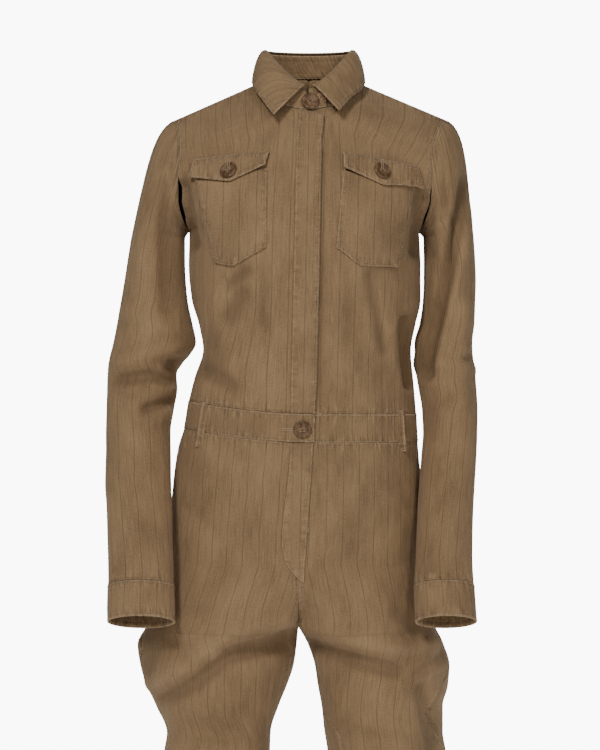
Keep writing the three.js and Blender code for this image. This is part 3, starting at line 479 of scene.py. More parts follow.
def fold(sheet, group):
    """Raises a sheet's folds, which fade out where its first and last rows are sewn."""
    sewn = ease(sheet.along / FOLD_FADE) * ease((sheet.along[-1:] - sheet.along) / FOLD_FADE)
    sheet.raise_by(fold_height(group, sheet.points, sheet.normals) * sewn)


def build_skin(name, side):
    for face, outwards in (("front", side), ("back", -side)):
        def bodice(s, r):
            return bodice_point(face, side, s, r * BODICE_ROWS)

        def trousers(s, r):
            return trouser_point(face, side, s, r * TROUSER_ROWS)

        fold(grid(f"{face}_{name}", bodice, 0.4, 0.5, outwards), "body")
        fold(grid(f"leg_{face}_{name}", trousers, 0.2, 0.5, -outwards), "legs")

    def sleeve(s, r):
        return sleeve_point(name, s, r * SLEEVE_ROWS)

    def cuff(s, r):
        return sleeve_point(name, s, SLEEVE_ROWS + r * CUFF_ROWS)

    fold(grid(f"sleeve_{name}", sleeve, 0.6, 0.25, side, True), name)
    made = grid(f"cuff_{name}", cuff, 0.5, 0.25, side, True)
    made.raise_by(np.full(made.height.shape, CUFF_PROUD))


for name, side in SIDES.items():
    build_skin(name, side)


SAME_PLACE = 2e-5


def placed(name, data):
    """A new object in the scene."""
    body = bpy.data.objects.new(name, data)
    bpy.context.scene.collection.objects.link(body)
    return body


def quads_of(sheet):
    """The four corners of each face, as numbers of the sheet's points."""
    index = np.arange(sheet.height.size).reshape(sheet.height.shape)
    corners = [index[:-1, :-1], index[:-1, 1:], index[1:, 1:], index[1:, :-1]]
    return np.stack(corners, axis=-1).reshape(-1, 4)


def mesh_of(name, parts, uvs, seams):
    """One object from sheets in millimetres, with its cloth coordinates in metres."""
    verts, faces, uv_values, seam_values, fold_values = [], [], [], [], []
    for part, uv, seam in zip(parts, uvs, seams):
        quads = quads_of(part) + sum(len(v) for v in verts)
        faces.append(quads if part.outwards > 0 else quads[:, ::-1])
        verts.append(part.points.reshape(-1, 3) / 1000)
        uv_values.append(uv.reshape(-1, 2) / 1000)
        seam_values.append(seam.reshape(-1, 2))
        fold_values.append(part.height.reshape(-1))
    mesh = bpy.data.meshes.new(name)
    mesh.from_pydata(np.concatenate(verts).tolist(), [], np.concatenate(faces).tolist())
    layer = mesh.uv_layers.new(name="cloth")
    loops = np.empty(len(mesh.loops), int)
    mesh.loops.foreach_get("vertex_index", loops)
    layer.data.foreach_set("uv", np.concatenate(uv_values)[loops].ravel())
    long_seam, cross_seam = np.concatenate(seam_values).T
    marks = {"long_seam": long_seam, "cross_seam": cross_seam, "fold": np.concatenate(fold_values)}
    for label, values in marks.items():
        mesh.attributes.new(label, "FLOAT", "POINT").data.foreach_set("value", values.copy())
    mesh.polygons.foreach_set("use_smooth", [True] * len(mesh.polygons))
    merge = bmesh.new()
    merge.from_mesh(mesh)
    bmesh.ops.remove_doubles(merge, verts=merge.verts, dist=SAME_PLACE)
    merge.to_mesh(mesh)
    merge.free()
    return placed(name, mesh)


def cloth_uv(sheet, side=1, middle=0.0, start=None):
    """Across and along in millimetres, with the grain line at the given part of the width."""
    zero = np.array([np.interp(middle * row[-1], row, row) for row in sheet.across])
    shift = zero if start is None else zero - start
    column = sheet.along[:, sheet.along.shape[1] // 2]
    u = side * (sheet.across - shift[:, None])
    return np.stack([u, np.broadcast_to(column[:, None], u.shape)], axis=-1)


def seam_of(sheet, edges):
    """Distance to the nearest long edge and cross edge, of those named."""
    distances = {
        "first": sheet.across,
        "last": sheet.across[:, -1:] - sheet.across,
        "low": sheet.along,
        "high": sheet.along[-1:] - sheet.along,
    }
    found = np.full((2, *sheet.points.shape[:2]), NO_SEAM)
    for edge in edges.split():
        kind = 0 if edge in ("first", "last") else 1
        found[kind] = np.minimum(found[kind], distances[edge])
    return np.stack(found, axis=-1)


cloth_material = bpy.data.materials.new("drill")
WALLS = {
    "cuff": 2.2, "placket": 1.8, "flap": 1.8, "waistband": 2.0, "loop": 1.6,
    "collar_stand": 1.6, "collar_leaf": 1.8,
}


def dress(name, parts, uvs, seams):
    wall = next((WALLS[part] for part in WALLS if name.startswith(part)), CLOTH)
    body = mesh_of("look_" + name, parts, uvs, seams)
    body.data.materials.append(cloth_material)
    shell = body.modifiers.new("wall", "SOLIDIFY")
    shell.thickness = wall / 1000
    shell.offset = -1.0
    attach(body, "root")
    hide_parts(name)


def dress_sheet(sheet, uv, edges="first last low high"):
    dress(sheet.name, [sheet], [uv], [seam_of(sheet, edges)])


def drift(name, points):
    """How far the stripes of a bodice front stray from plumb, in millimetres."""
    x, z = points[..., 0], points[..., 2]
    if name == "right":
        return 23 * ease((-285 - z) / 110) * clamp((-36 - x) / 76)
    return -22 * clamp((x - 60) / 95) * clamp((z + 130) / 60, 0, 1.4)


def bodice_uv(half, side):
    """Stripes counted from the middle of the body."""
    edge = half.points[:, 0]
    return cloth_uv(half, side, 0, side * (edge[:, 0] - centre_x(edge[:, 2])))


def plumb(sheet, side):
    """Upright stripes on a trouser front, which lean outwards a little on the right."""
    middle = sheet.points[:, sheet.points.shape[1] // 2]
    uv = cloth_uv(sheet, side, 0.5, side * middle[:, 0])
    lean = 0.09 if side < 0 else 0.0
    uv[..., 0] += lean * np.clip(BAND_BOTTOM - middle[:, 2], 0, 260)[:, None]
    return uv


def halved(tube):
    """The front and the back half of a sleeve, whose seam runs under the arm."""
    middle = tube.points.shape[1] // 2
    halves = []
    for columns in (slice(0, middle + 1), slice(middle, None)):
        half = Sheet(tube.name, tube.points[:, columns], tube.outwards, normals=tube.normals[:, columns])
        half.height = tube.height[:, columns]
        halves.append(half)
    return halves


def sleeve_uv(half, side, capped):
    """Stripes run straight down from the shoulder and stop at the armhole."""
    back = half.points[:, half.points.shape[1] // 2, 1].mean() > half.points[:, [0, -1], 1].mean()
    top = -1 if back else 0
    arc = half.across - half.across[:, top:][:, :1]
    if capped:
        outer_x, outer_z = abs(half.points[:, top, 0]), half.points[:, top, 2]
        inward = np.interp(-half.points[..., 2], -outer_z, outer_x) - abs(half.points[..., 0])
        turns = np.linspace(0, 180, 60)
        wide, deep = ARM_RADII
        step = np.hypot(wide * np.diff(cos(turns)), deep * np.diff(sin(turns)))
        straight = np.interp(inward, wide * (1 - cos(turns)), np.concatenate([[0], np.cumsum(step)]))
        arc = mix(straight * (-1 if back else 1), arc, ease((-120 - half.points[..., 2]) / 110))
    return np.stack([side * arc, np.broadcast_to(half.along[:, :1], arc.shape)], axis=-1)


for name, side in SIDES.items():
    front = sheets[f"front_{name}"]
    front_uv = bodice_uv(front, side)
    front_uv[..., 0] += drift(name, front.points)
    dress_sheet(front, front_uv)
    for part in ("sleeve", "cuff"):
        tube = sheets[f"{part}_{name}"]
        halves = halved(tube)
        uvs = [sleeve_uv(half, side, part == "sleeve") for half in halves]
        seam = seam_of(tube, "low high")
        last = halves[0].points.shape[1] - 1
        dress(f"{part}_{name}", halves, uvs, [seam[:, :last + 1], seam[:, last:]])
    dress_sheet(sheets[f"leg_front_{name}"], plumb(sheets[f"leg_front_{name}"], side))
    dress_sheet(sheets[f"leg_back_{name}"], cloth_uv(sheets[f"leg_back_{name}"], side, 0.5))

halves = [sheets[f"back_{name}"] for name in SIDES]
back_uvs = [bodice_uv(half, side) for half, side in zip(halves, SIDES.values())]
dress("back", halves, back_uvs, [seam_of(half, "last low high") for half in halves])


def tree_over(part):
    verts, polys = [], []
    for name in SIDES:
        sheet = sheets[f"{part}_{name}"]
        polys += (quads_of(sheet) + len(verts)).tolist()
        verts += sheet.points.reshape(-1, 3).tolist()
    return BVHTree.FromPolygons(verts, polys)


fronts, leg_fronts = tree_over("front"), tree_over("leg_front")
backs, leg_backs = tree_over("back"), tree_over("leg_back")


def surface_at(tree, x, z, facing=-1):
    """The outer cloth surface under places in the front view, or the back view for facing 1."""
    found = []
    for px, pz in zip(np.ravel(x), np.ravel(z)):
        hit = None
        for nudge in (0.0, 0.4, -0.4):
            start = Vector((px + nudge, facing * 500, pz))
            hit = hit or tree.ray_cast(start, Vector((0, -facing, 0)), 500)[0]
        if hit is None:
            hit = tree.find_nearest(Vector((px, facing * 110, pz)))[0]
        found.append([px, hit[1], pz])
    return np.array(found).reshape(*np.shape(x), 3)


def facing_sheet(name, points, facing):
    """A sheet whose outer side faces the given way along Y."""
    outwards = np.sign(normals_of(points, 1)[..., 1].mean() * facing)
    sheets[name] = Sheet(name, points, outwards)
    return sheets[name]


def lay(name, tree, outline, height, step=3.4):
    """A piece on other cloth. outline(u, v) gives X and Z, height(u, v) how far it stands off."""
    t, middle = np.linspace(0, 1, 40), np.full(40, 0.5)
    counts = []
    for line in ((t, middle), (middle, t)):
        reach = np.hypot(*np.diff(np.array(outline(*line)), axis=1)).sum()
        counts.append(np.linspace(0, 1, round(reach / step) + 1))
    u, v = np.meshgrid(*counts)
    base = facing_sheet(name, surface_at(tree, *outline(u, v)), -1)
    return facing_sheet(name, base.points + base.normals * (height(u, v) + 0 * u)[..., None], -1)


def pointed(u, at):
    return np.where(u < at, u / at, (1 - u) / (1 - at))


PLACKET = {"top": -41, "slant": 4, "half": 15.6, "shift": 3}


def lay_placket():
    def outline(u, v):
        z = mix(PLACKET["top"] - PLACKET["slant"] * u, WAIST_SEAM + 0.6, v)
        x = centre_x(z) + mix(PLACKET["shift"], 0, ease(v * 8))
        return x + mix(-PLACKET["half"], PLACKET["half"], u), z

    return lay("placket", fronts, outline, lambda u, v: 2.4 + 1.6 * ease(u * 4 - 3), 3.0)


# Corners of the pockets and flaps. Each ends in a point, which lies at a part of the width and drops.
POCKET_TOP = -121
POCKETS = {
    "right": {"top": (-146, -49.5), "bottom": (-118, -50), "low": -221, "at": 0.34, "drop": 12, "tilt": 19},
    "left": {"top": (49, 147), "bottom": (40, 122), "low": -222, "at": 0.38, "drop": 14, "tilt": 24},
}
FLAPS = {
    "right": {
        "top": ((-146, -102), (-46, -96)), "bottom": ((-150, -128), (-51, -116)), "at": 0.53, "drop": 15,
    },
    "left": {"top": ((49, -97), (148, -112)), "bottom": ((49, -120), (152, -139)), "at": 0.5, "drop": 12},
}


def lay_pocket(name, pocket):
    def outline(u, v):
        (a, b), (c, d) = pocket["top"], pocket["bottom"]
        x = mix(mix(a, c, v), mix(b, d, v), u)
        slant = pocket["tilt"] * ((1 - u) if name == "right" else u)
        low = pocket["low"] - slant - pocket["drop"] * pointed(u, pocket["at"])
        return x, mix(POCKET_TOP, low, v)

    return lay(f"pocket_{name}", fronts, outline, lambda u, v: PATCH_HEIGHT)


def lay_flap(name, flap):
    def outline(u, v):
        (top_x, top_z), (low_x, low_z) = ([mix(a, b, u) for a, b in zip(*flap[k])] for k in ("top", "bottom"))
        return mix(top_x, low_x, v), mix(top_z, low_z - flap["drop"] * pointed(u, flap["at"]), v)

    def height(u, v):
        corner = 3.2 * clamp(1 - u * 3.2) * clamp(v * 1.6 - 0.6)
        far_corner = 1.8 * clamp(u * 4 - 3) * clamp(v * 1.6 - 0.6)
        return mix(2.6, 6.2, ease(v * 4)) + corner + far_corner

    return lay(f"flap_{name}", fronts, outline, height, 2.6)


FLY = {"low": -656, "right": (-19, -30), "left": (10.5, -2), "curve": 26, "curve_from": 0.72}


def lay_fly():
    def outline(u, v):
        z = mix(BAND_BOTTOM - 0.8, FLY["low"], v)
        swing = FLY["curve"] * clamp((v - FLY["curve_from"]) / (1 - FLY["curve_from"])) ** 2.4
        right = mix(*FLY["right"], ease(v * 1.4)) + swing
        left = mix(*FLY["left"], v)
        return mix(right, np.maximum(left, right + 2), u), z

    return lay("fly", leg_fronts, outline, lambda u, v: PATCH_HEIGHT, 3.0)


def dress_laid(sheet, edges):
    x, z = sheet.points[..., 0], sheet.points[..., 2]
    dress_sheet(sheet, np.stack([x - centre_x(z), -z], axis=-1), edges)


dress_laid(lay_placket(), "first last")
for name in SIDES:
    dress_laid(lay_pocket(name, POCKETS[name]), "first last high")
    dress_laid(lay_flap(name, FLAPS[name]), "first last low high")
dress_laid(lay_fly(), "first last")


# Waistband: one strip whose right end laps over its left end at the front.
BAND = {"proud": 0.6, "lap": 12 / 116 * 180 / math.pi, "over": 1.6, "under": 1.2}


def band_at(s, r):
    angle = s * (360 + BAND["lap"])
    point = band_point(angle, 1 - r)
    over = band_point(angle + 1, 1 - r) - point
    up = band_point(angle, 1.1 - r) - point
    stand = BAND["over"] * ease((angle - 345) / 12) - BAND["under"] * ease((14 - angle) / 12)
    return point + unit(np.cross(over, up)) * (stand + BAND["proud"])[..., None]


band = grid("waistband", band_at, 0.5, 0.1, -1, step=3.6)
band_uv = cloth_uv(band)
band_uv[..., 0] = band.across.mean(0)
dress_sheet(band, band_uv)

# Belt loops: where each starts and ends in X and Z, the way that it faces, and its twist in degrees.
LOOPS = {
    "loop_front_right": ((-131.5, -424), (-140, -483), -1, 0),
    "loop_front_left": ((125, -434), (129, -489), -1, 40),
    "loop_back": ((-1, -432), (-1, -484), 1, 0),
}
LOOP_WIDTH = 9.5
LOOP_ARCH = 3.6


def loop_sheet(name, top, bottom, facing, twist):
    places = zip((fronts, leg_fronts) if facing < 0 else (backs, leg_backs), (top, bottom))
    ends = [surface_at(tree, *np.array(place, float)[:, None], facing)[0] for tree, place in places]
    along = ends[1] - ends[0]
    across = unit(np.cross(along, (0, -facing, 0)))
    normal = unit(np.cross(along, across))
    normal = normal * np.sign(normal[1] * facing)
    u, t = np.meshgrid(np.linspace(-1, 1, 7), np.linspace(0, 1, 30))
    lift = 0.9 + LOOP_ARCH * ease(4 * np.minimum(t, 1 - t))
    roll = twist * sin(180 * t)[..., None]
    wide = (across * cos(roll) + normal * sin(roll)) * (u * LOOP_WIDTH / 2)[..., None]
    return facing_sheet(name, ends[0] + along * t[..., None] + normal * lift[..., None] + wide, facing)


for name, layout in LOOPS.items():
    loop = loop_sheet(name, *layout)
    dress_sheet(loop, cloth_uv(loop, 1, 0.5))


# The collar stand's top edge, and its turn in degrees with the part that laps over in front.
STAND = {"half": 58, "front": -63, "back": 54, "low": -9, "high": 47, "turn": 382}
LEAF_GAP = 4


def fold_line(angle):
    """Top of the collar stand, where the leaf folds over, by degrees from the centre front."""
    turn = abs(angle)
    facing = cos(turn)
    rise = sin(np.minimum(turn, 90)) ** 1.5
    x = NECK["x"] + np.sign(angle) * STAND["half"] * sin(turn)
    y = np.where(facing > 0, STAND["front"], -STAND["back"]) * facing
    return vec(x, y, mix(STAND["low"], STAND["high"], rise) + np.maximum(-4 * facing, 0))


def stand_at(s, r):
    turn = s * STAND["turn"]
    angle = np.where(turn > 180, turn - 360, turn)
    seam = neck_point(np.where(angle < 0, -1, 1), abs(angle))
    tab = ease((turn - 356) / 4)
    top = mix(1, 0.62, ease((turn - 352) / 8))
    raised = mix(seam, fold_line(angle), (mix(0.03, top, r))[..., None])
    raised[..., 1] -= tab * (2.6 * ease(r * 2 + 0.4) + 0.6)
    return raised


LEAF = {
    "right": track("angle x y z", [
        [0, -47, -91, -46], [30, -62, -62, -24], [60, -73, -34, -6], [90, -77, -4, 7],
        [125, -70, 42, 11], [155, -42, 71, 9], [180, 0, 80, 8],
    ]),
    "left": track("angle x y z", [
        [0, 40, -89, -40], [30, 57, -60, -20], [60, 72, -33, -5], [90, 76.5, -4, 7],
        [125, 70, 42, 11], [155, 42, 71, 9], [180, 0, 80, 8],
    ]),
}


def leaf_at(s, r):
    turn = mix(LEAF_GAP, 360 - LEAF_GAP, s)
    angle = np.where(turn > 180, turn - 360, turn)
    line = fold_line(angle)
    edge = {name: LEAF[name]((abs(angle) - LEAF_GAP) / (180 - LEAF_GAP) * 180) for name in LEAF}
    low = choose((angle < 0, vec(*edge["right"].values())), vec(*edge["left"].values()))
    low[..., 0] += NECK["x"]
    out = unit(line * (1, 1, 0) - vec(NECK["x"], 0, 0))
    start = line + (0, 0, 4.2)
    shoulder = start + out * 11 + (0, 0, 2)
    hang = mix(low, start, 0.35) + out * 6
    t = np.asarray(r)[..., None]
    return curve(low, hang, shoulder, start, t)


stand = grid("collar_stand", stand_at, 0.5, 0.25, 1, step=3.2)
dress_sheet(stand, cloth_uv(stand))
leaf = grid("collar_leaf", leaf_at, 0.3, 0.25, 1, step=3.2)
dress_sheet(leaf, cloth_uv(leaf), "first last low")


# Buttons: a turned rim round a shallow dish with four holes.
button_material = bpy.data.materials.new("button")
PROFILE = [
    (0.0, 1.5), (4.6, 1.5), (6.4, 1.7), (7.6, 2.2), (8.4, 2.75), (9.2, 3.0), (10.2, 2.95), (11.0, 2.5),
    (11.7, 1.7), (11.9, 1.1), (11.3, 0.4), (10.4, 0.0), (0.0, 0.0),
]
HOLE = {"radius": 1.05, "x": 2.3, "y": 2.3 * 0.75}
BUTTON_HEIGHT = 7.0
BUTTON_TILT = math.radians(22)


def lathe(profile, turns, places):
    """Closed turnings about upright axes at the places, as one object."""
    made = bmesh.new()
    for at_x, at_y in places:
        rings = []
        for radius, height in profile:
            around = np.linspace(0, 2 * math.pi, turns, endpoint=False) if radius else [0.0]
            ring = [(at_x + radius * math.cos(t), at_y + radius * math.sin(t), height) for t in around]
            rings.append([made.verts.new(place) for place in ring])
        for low, high in zip(rings[:-1], rings[1:]):
            for i in range(turns):
                steps = ((low, i), (low, i + 1), (high, i + 1), (high, i))
                corners = [ring[k % len(ring)] for ring, k in steps]
                made.faces.new(list(dict.fromkeys(corners))[::-1])
    bmesh.ops.recalc_face_normals(made, faces=made.faces)
    data = bpy.data.meshes.new("turned")
    made.to_mesh(data)
    made.free()
    return placed("turned", data)


def plain_mesh(body):
    """The object's mesh with its modifiers worked in."""
    bpy.context.view_layer.update()
    return bpy.data.meshes.new_from_object(body.evaluated_get(bpy.context.evaluated_depsgraph_get()))


def button_blank():
    blank = lathe(PROFILE, 48, [(0, 0)])
    x, y = HOLE["x"], HOLE["y"]
    pin = [(0.0, 4.0), (HOLE["radius"], 4.0), (HOLE["radius"], -1.0), (0.0, -1.0)]
    pins = lathe(pin, 14, [(x, y), (-x, y), (-x, -y), (x, -y)])
    drill = blank.modifiers.new("holes", "BOOLEAN")
    drill.object, drill.operation, drill.solver = pins, "DIFFERENCE", "EXACT"
    drilled = plain_mesh(blank)
    bpy.data.objects.remove(blank)
    bpy.data.objects.remove(pins)
    return drilled


def normal_at(tree, x, z):
    near = surface_at(tree, np.array([x - 4, x + 4, x, x]), np.array([z, z, z - 4, z + 4]))
    n = unit(np.cross(near[1] - near[0], near[3] - near[2]))
    return n * np.sign(-n[1])


def on_flap(x, z):
    normal = normal_at(fronts, x, z)
    return surface_at(fronts, np.array([x]), np.array([z]))[0] + normal * BUTTON_HEIGHT, normal


def spun(x, y, z, twist):
    """A place on a button that is turned about its own axis."""
    return Vector((x * math.cos(twist) - y * math.sin(twist), x * math.sin(twist) + y * math.cos(twist), z))


# Each button's middle, the way that it faces, and its turn about its own axis in degrees.
BUTTONS = {
    "button_pocket_right": (*on_flap(-97.5, -123), 20),
    "button_pocket_left": (*on_flap(98.3, -124), -10),
    "button_waist": (band_point(np.array(0.0), np.array(0.44)) + np.array([0, -2.4, 0]), (0, -1, 0), 8),
    "button_collar": ((7, -73.6, -27), (0, -math.cos(BUTTON_TILT), math.sin(BUTTON_TILT)), 35),
}
BLANK = button_blank()
thread_bars = []
for name, (centre, normal, spin) in BUTTONS.items():
    data = BLANK.copy()
    turn = Vector((0, 0, 1)).rotation_difference(Vector(normal))
    twist = math.radians(spin)
    for vertex in data.vertices:
        vertex.co = (turn @ spun(*vertex.co, twist) + Vector(centre)) / 1000
    data.materials.clear()
    data.materials.append(button_material)
    data.polygons.foreach_set("use_smooth", [True] * len(data.polygons))
    body = placed("look_" + name, data)
    body.modifiers.new("edges", "EDGE_SPLIT").split_angle = math.radians(40)
    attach(body, "root")
    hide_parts(name)
    for y in (-HOLE["y"], HOLE["y"]):
        for lift, shift in ((1.75, -0.35), (1.9, 0.35)):
            ends = [turn @ spun(x, y + shift, lift, twist) for x in (-HOLE["x"], HOLE["x"])]
            thread_bars.append((np.array(ends) + centre, [normal] * 2))


# Stitches: lines on the sheets, which a node tree sews at an even pitch.
thread_material = bpy.data.materials.new("thread")


def beside(name, edge, away, start, end):
    """A line this far in from an edge of a sheet, over part of its length."""
    s = sheets[name]
    reach, lines = s.across, np.concatenate([s.points, s.normals], axis=-1)
    if edge in ("low", "high"):
        reach, lines = s.along.T, lines.transpose(1, 0, 2)
    found = []
    for distance, line in zip(reach, lines):
        at = away if edge in ("first", "low") else distance[-1] - away
        found.append([np.interp(at, distance, line[:, k]) for k in range(6)])
    last = len(found) - 1
    points, normals = np.split(np.array(found)[round(start * last):round(end * last) + 1], 2, axis=1)
    return points + normals * STITCH_LIFT, normals


def drawn(tree, places, lift):
    """A line through places in the front view, laid on the cloth under it."""
    places = np.array(places, float)
    steps = lengths(np.stack([places[:, 0], 0 * places[:, 0], places[:, 1]], axis=-1)[None], 1)[0]
    at = np.linspace(0, steps[-1], max(3, int(steps[-1] / 3)))
    points = surface_at(tree, np.interp(at, steps, places[:, 0]), np.interp(at, steps, places[:, 1]))
    return points + np.array(FORWARD) * lift, np.broadcast_to(FORWARD, points.shape)


# Top stitches: the sheet, its edges, how far in they run, and the part of the edge that is sewn.
SIDE_STITCHES = [
    ("front", "last", (2.2,), 0.52, 0.97), ("back", "last", (2.2,), 0.52, 0.97),
    ("front", "last", (8.5,), 0.52, 0.97), ("back", "last", (8.5,), 0.52, 0.97),
    ("front", "high", (2.6,), 0.02, 1), ("leg_front", "high", (18,), 0, 1),
    ("back", "high", (2.6,), 0.02, 1), ("leg_back", "high", (18,), 0, 1),
    ("leg_back", "first", (2.4,), 0, 0.42), ("cuff", "low high", (2.2,), 0, 1),
    ("sleeve", "high", (2.4,), 0, 1), ("pocket", "first last high", (1.8, 8), 0, 1),
    ("flap", "first last", (2,), 0.1, 1),
    ("flap", "high low", (2,), 0, 1), ("flap", "high", (8,), 0.07, 0.93), ("flap", "low", (7.5,), 0.06, 0.94),
]
MIDDLE_STITCHES = [
    ("leg_front_left", "first", (2.4,), 0.06, 0.42), ("placket", "last", (1.8, 10.5), 0, 1),
    ("placket", "first", (1.8,), 0, 1), ("placket", "low", (2, 16), 0, 1),
    ("waistband", "low high last", (2,), 0, 1), ("collar_leaf", "first last low", (6,), 0, 1),
    ("collar_stand", "low last", (2,), 0, 1), ("fly", "first", (1.4, 7.5), 0, 0.97),
    *((loop, "first last", (1.4,), 0.08, 0.92) for loop in LOOPS),
]


def top_stitch_lines():
    rows = [(f"{part}_{name}", *row) for name in SIDES for part, *row in SIDE_STITCHES] + MIDDLE_STITCHES
    lines = []
    for name, edges, distances, start, end in rows:
        lines += [beside(name, edge, away, start, end) for edge in edges.split() for away in distances]
    return lines


SIDE_POCKETS = {
    "right": [(-159.5, -474), (-167, -500), (-173, -528), (-177, -556), (-180, -590), (-184, -622)],
    "left": [(149, -488), (152, -520), (155, -556), (158, -590), (160, -622)],
}
PLACKET_CROSS = [[(-9, -61), (11, -45.5)], [(-7, -45.5), (12, -60.5)]]


def fine_lines():
    lines = [drawn(leg_fronts, places, 0.5) for places in SIDE_POCKETS.values()]
    return lines + [drawn(fronts, places, 3.2) for places in PLACKET_CROSS]


BUTTONHOLES = [
    ("button_pocket_right", (0, 0, 1), (0, -0.3, 1.5)),
    ("button_pocket_left", (0, 0, 1), (0, -0.3, 1.5)),
    ("button_waist", (1, 0, 0), (-13, 0.6, 0.5)),
]
FLY_TACKS = [(-27.5, -604, 10), (-14, -655, 8), (3.5, -585, 6)]


def bar_lines():
    """Dense cross stitches: bar tacks and buttonholes."""
    bars = []
    for name in LOOPS:
        s = sheets[name]
        for row in (2, s.points.shape[0] - 3):
            bars.append((s.points[row] + s.normals[row] * 0.3, s.normals[row]))
    for x, z, high in FLY_TACKS:
        bars.append(drawn(leg_fronts, [(x, z), (x + 0.5, z - high)], 2.7))
    for name in SIDES:
        for edge in (0, -1):
            top = sheets[f"pocket_{name}"].points[2:4, edge]
            bars.append((top + (0, -0.6, 0), np.broadcast_to(FORWARD, top.shape)))
        for x, z in (SIDE_POCKETS[name][0], SIDE_POCKETS[name][-1]):
            bars.append(drawn(leg_fronts, [(x, z - 3), (x, z - 10)], 0.6))
    for key, along, shift in BUTTONHOLES:
        centre = np.array(BUTTONS[key][0], float) + shift
        aside = np.cross(along, (0, 1, 0))
        for step in (-1.2, 1.2):
            line = centre + np.linspace(-13, 13, 10)[:, None] * along + aside * step
            bars.append((line, np.broadcast_to(FORWARD, line.shape)))
    return bars


class Socket:
    """An output of a node, on which sums can be written."""

    def __init__(self, tree, end):
        self.tree, self.end = tree, end

    def __add__(self, other):
        return calc("ADD", self, other)

    def __radd__(self, other):
        return calc("ADD", other, self)

    def __sub__(self, other):
        return calc("SUBTRACT", self, other)

    def __rsub__(self, other):
        return calc("SUBTRACT", other, self)

    def __mul__(self, other):
        return calc("MULTIPLY", self, other)

    def __rmul__(self, other):
        return calc("MULTIPLY", other, self)


def add(tree, kind, values=None, out=0, **settings):
    """A node with its settings, then the values or links of its inputs. Returns one output."""
    made = tree.nodes.new(kind)
    for key, value in settings.items():
        setattr(made, key, value)
    for key, value in (values or {}).items():
        if isinstance(value, Socket):
            tree.links.new(value.end, made.inputs[key])
        else:
            made.inputs[key].default_value = value
    return Socket(tree, made.outputs[out]) if made.outputs else None


def tree_of(*values):
    return next(value.tree for value in values if isinstance(value, Socket))


def calc(operation, *values):
    return add(tree_of(*values), "ShaderNodeMath", dict(enumerate(values)), operation=operation)


def sewing_tree():
    """Stitches along the edges of a mesh, each lying on the cloth whose normal is in "out"."""
    tree = bpy.data.node_groups.new("sewing", "GeometryNodeTree")
    tree.interface.new_socket("Geometry", in_out="OUTPUT", socket_type="NodeSocketGeometry")
    for label, kind in SEWING_INPUTS.items():
        tree.interface.new_socket(label, in_out="INPUT", socket_type="NodeSocket" + kind)
    given = tree.nodes.new("NodeGroupInput")
    value = {label: Socket(tree, given.outputs[label]) for label in SEWING_INPUTS}
    path = add(tree, "GeometryNodeMeshToCurve", {"Mesh": value["Geometry"]})
    places = add(tree, "GeometryNodeResampleCurve", {"Curve": path, "Length": value["Pitch"]}, mode="LENGTH")
    out = add(tree, "GeometryNodeInputNamedAttribute", {"Name": "out"}, "Attribute", data_type="FLOAT_VECTOR")
    lie = add(tree, "FunctionNodeAlignRotationToVector", {"Vector": out}, axis="Z")
    tangent = add(tree, "GeometryNodeInputTangent")
    follow = add(tree, "FunctionNodeAlignRotationToVector", {
        "Rotation": lie, "Vector": tangent,
    }, axis="X", pivot_axis="Z")
    askew = add(tree, "FunctionNodeRandomValue", {
        2: value["Lean"] * -1, 3: value["Lean"], "Seed": value["Seed"],
    }, 1, data_type="FLOAT")
    euler = add(tree, "ShaderNodeCombineXYZ", {"Z": askew + value["Turn"]})
    spin = add(tree, "FunctionNodeRotateRotation", {
        "Rotation": follow, "Rotate By": add(tree, "FunctionNodeEulerToRotation", {0: euler}),
    }, rotation_space="LOCAL")
    size = add(tree, "ShaderNodeCombineXYZ", {
        "X": value["Stitch Length"], "Y": value["Thread Width"], "Z": value["Thread Width"] * 0.6,
    })
    stitch = add(tree, "GeometryNodeMeshIcoSphere", {"Radius": 0.5, "Subdivisions": 1}, "Mesh")
    stitches = add(tree, "GeometryNodeInstanceOnPoints", {
        "Points": places, "Instance": stitch, "Rotation": spin, "Scale": size,
    })
    real = add(tree, "GeometryNodeRealizeInstances", {"Geometry": stitches})
    smooth = add(tree, "GeometryNodeSetShadeSmooth", {"Geometry": real})
    painted = add(tree, "GeometryNodeSetMaterial", {"Geometry": smooth, "Material": value["Thread"]})
    add(tree, "NodeGroupOutput", {"Geometry": painted})
    return tree


SEWING_INPUTS = {
    "Geometry": "Geometry", "Pitch": "Float", "Stitch Length": "Float", "Thread Width": "Float",
    "Turn": "Float", "Lean": "Float", "Seed": "Int", "Thread": "Material",
}
SEWING = sewing_tree()
SOCKETS = {item.name: item.identifier for item in SEWING.interface.items_tree if item.in_out == "INPUT"}


def sew(name, lines, pitch, stitch, width, turn=0.0, lean=3.0, seed=4):
    """Sews lines of points and normals. Sizes are in millimetres, turn and lean in degrees."""
    verts, edges, outs = [], [], []
    for points, normals in lines:
        first = len(verts)
        verts += (np.asarray(points) / 1000).tolist()
        outs += np.asarray(normals, float).tolist()
        edges += [(first + i, first + i + 1) for i in range(len(points) - 1)]
    mesh = bpy.data.meshes.new(name)
    mesh.from_pydata(verts, edges, [])
    mesh.attributes.new("out", "FLOAT_VECTOR", "POINT").data.foreach_set("vector", np.array(outs).ravel())
    path = placed(name + "_lines", mesh)
    sewing = path.modifiers.new("sewing", "NODES")
    sewing.node_group = SEWING
    values = {
        "Pitch": pitch / 1000, "Stitch Length": stitch / 1000, "Thread Width": width / 1000,
        "Turn": math.radians(turn), "Lean": math.radians(lean), "Seed": seed, "Thread": thread_material,
    }
    for label, value in values.items():
        sewing[SOCKETS[label]] = value
    sewn = plain_mesh(path)
    sewn.name = "look_" + name
    bpy.data.objects.remove(path)
    body = placed("look_" + name, sewn)
    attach(body, "root")


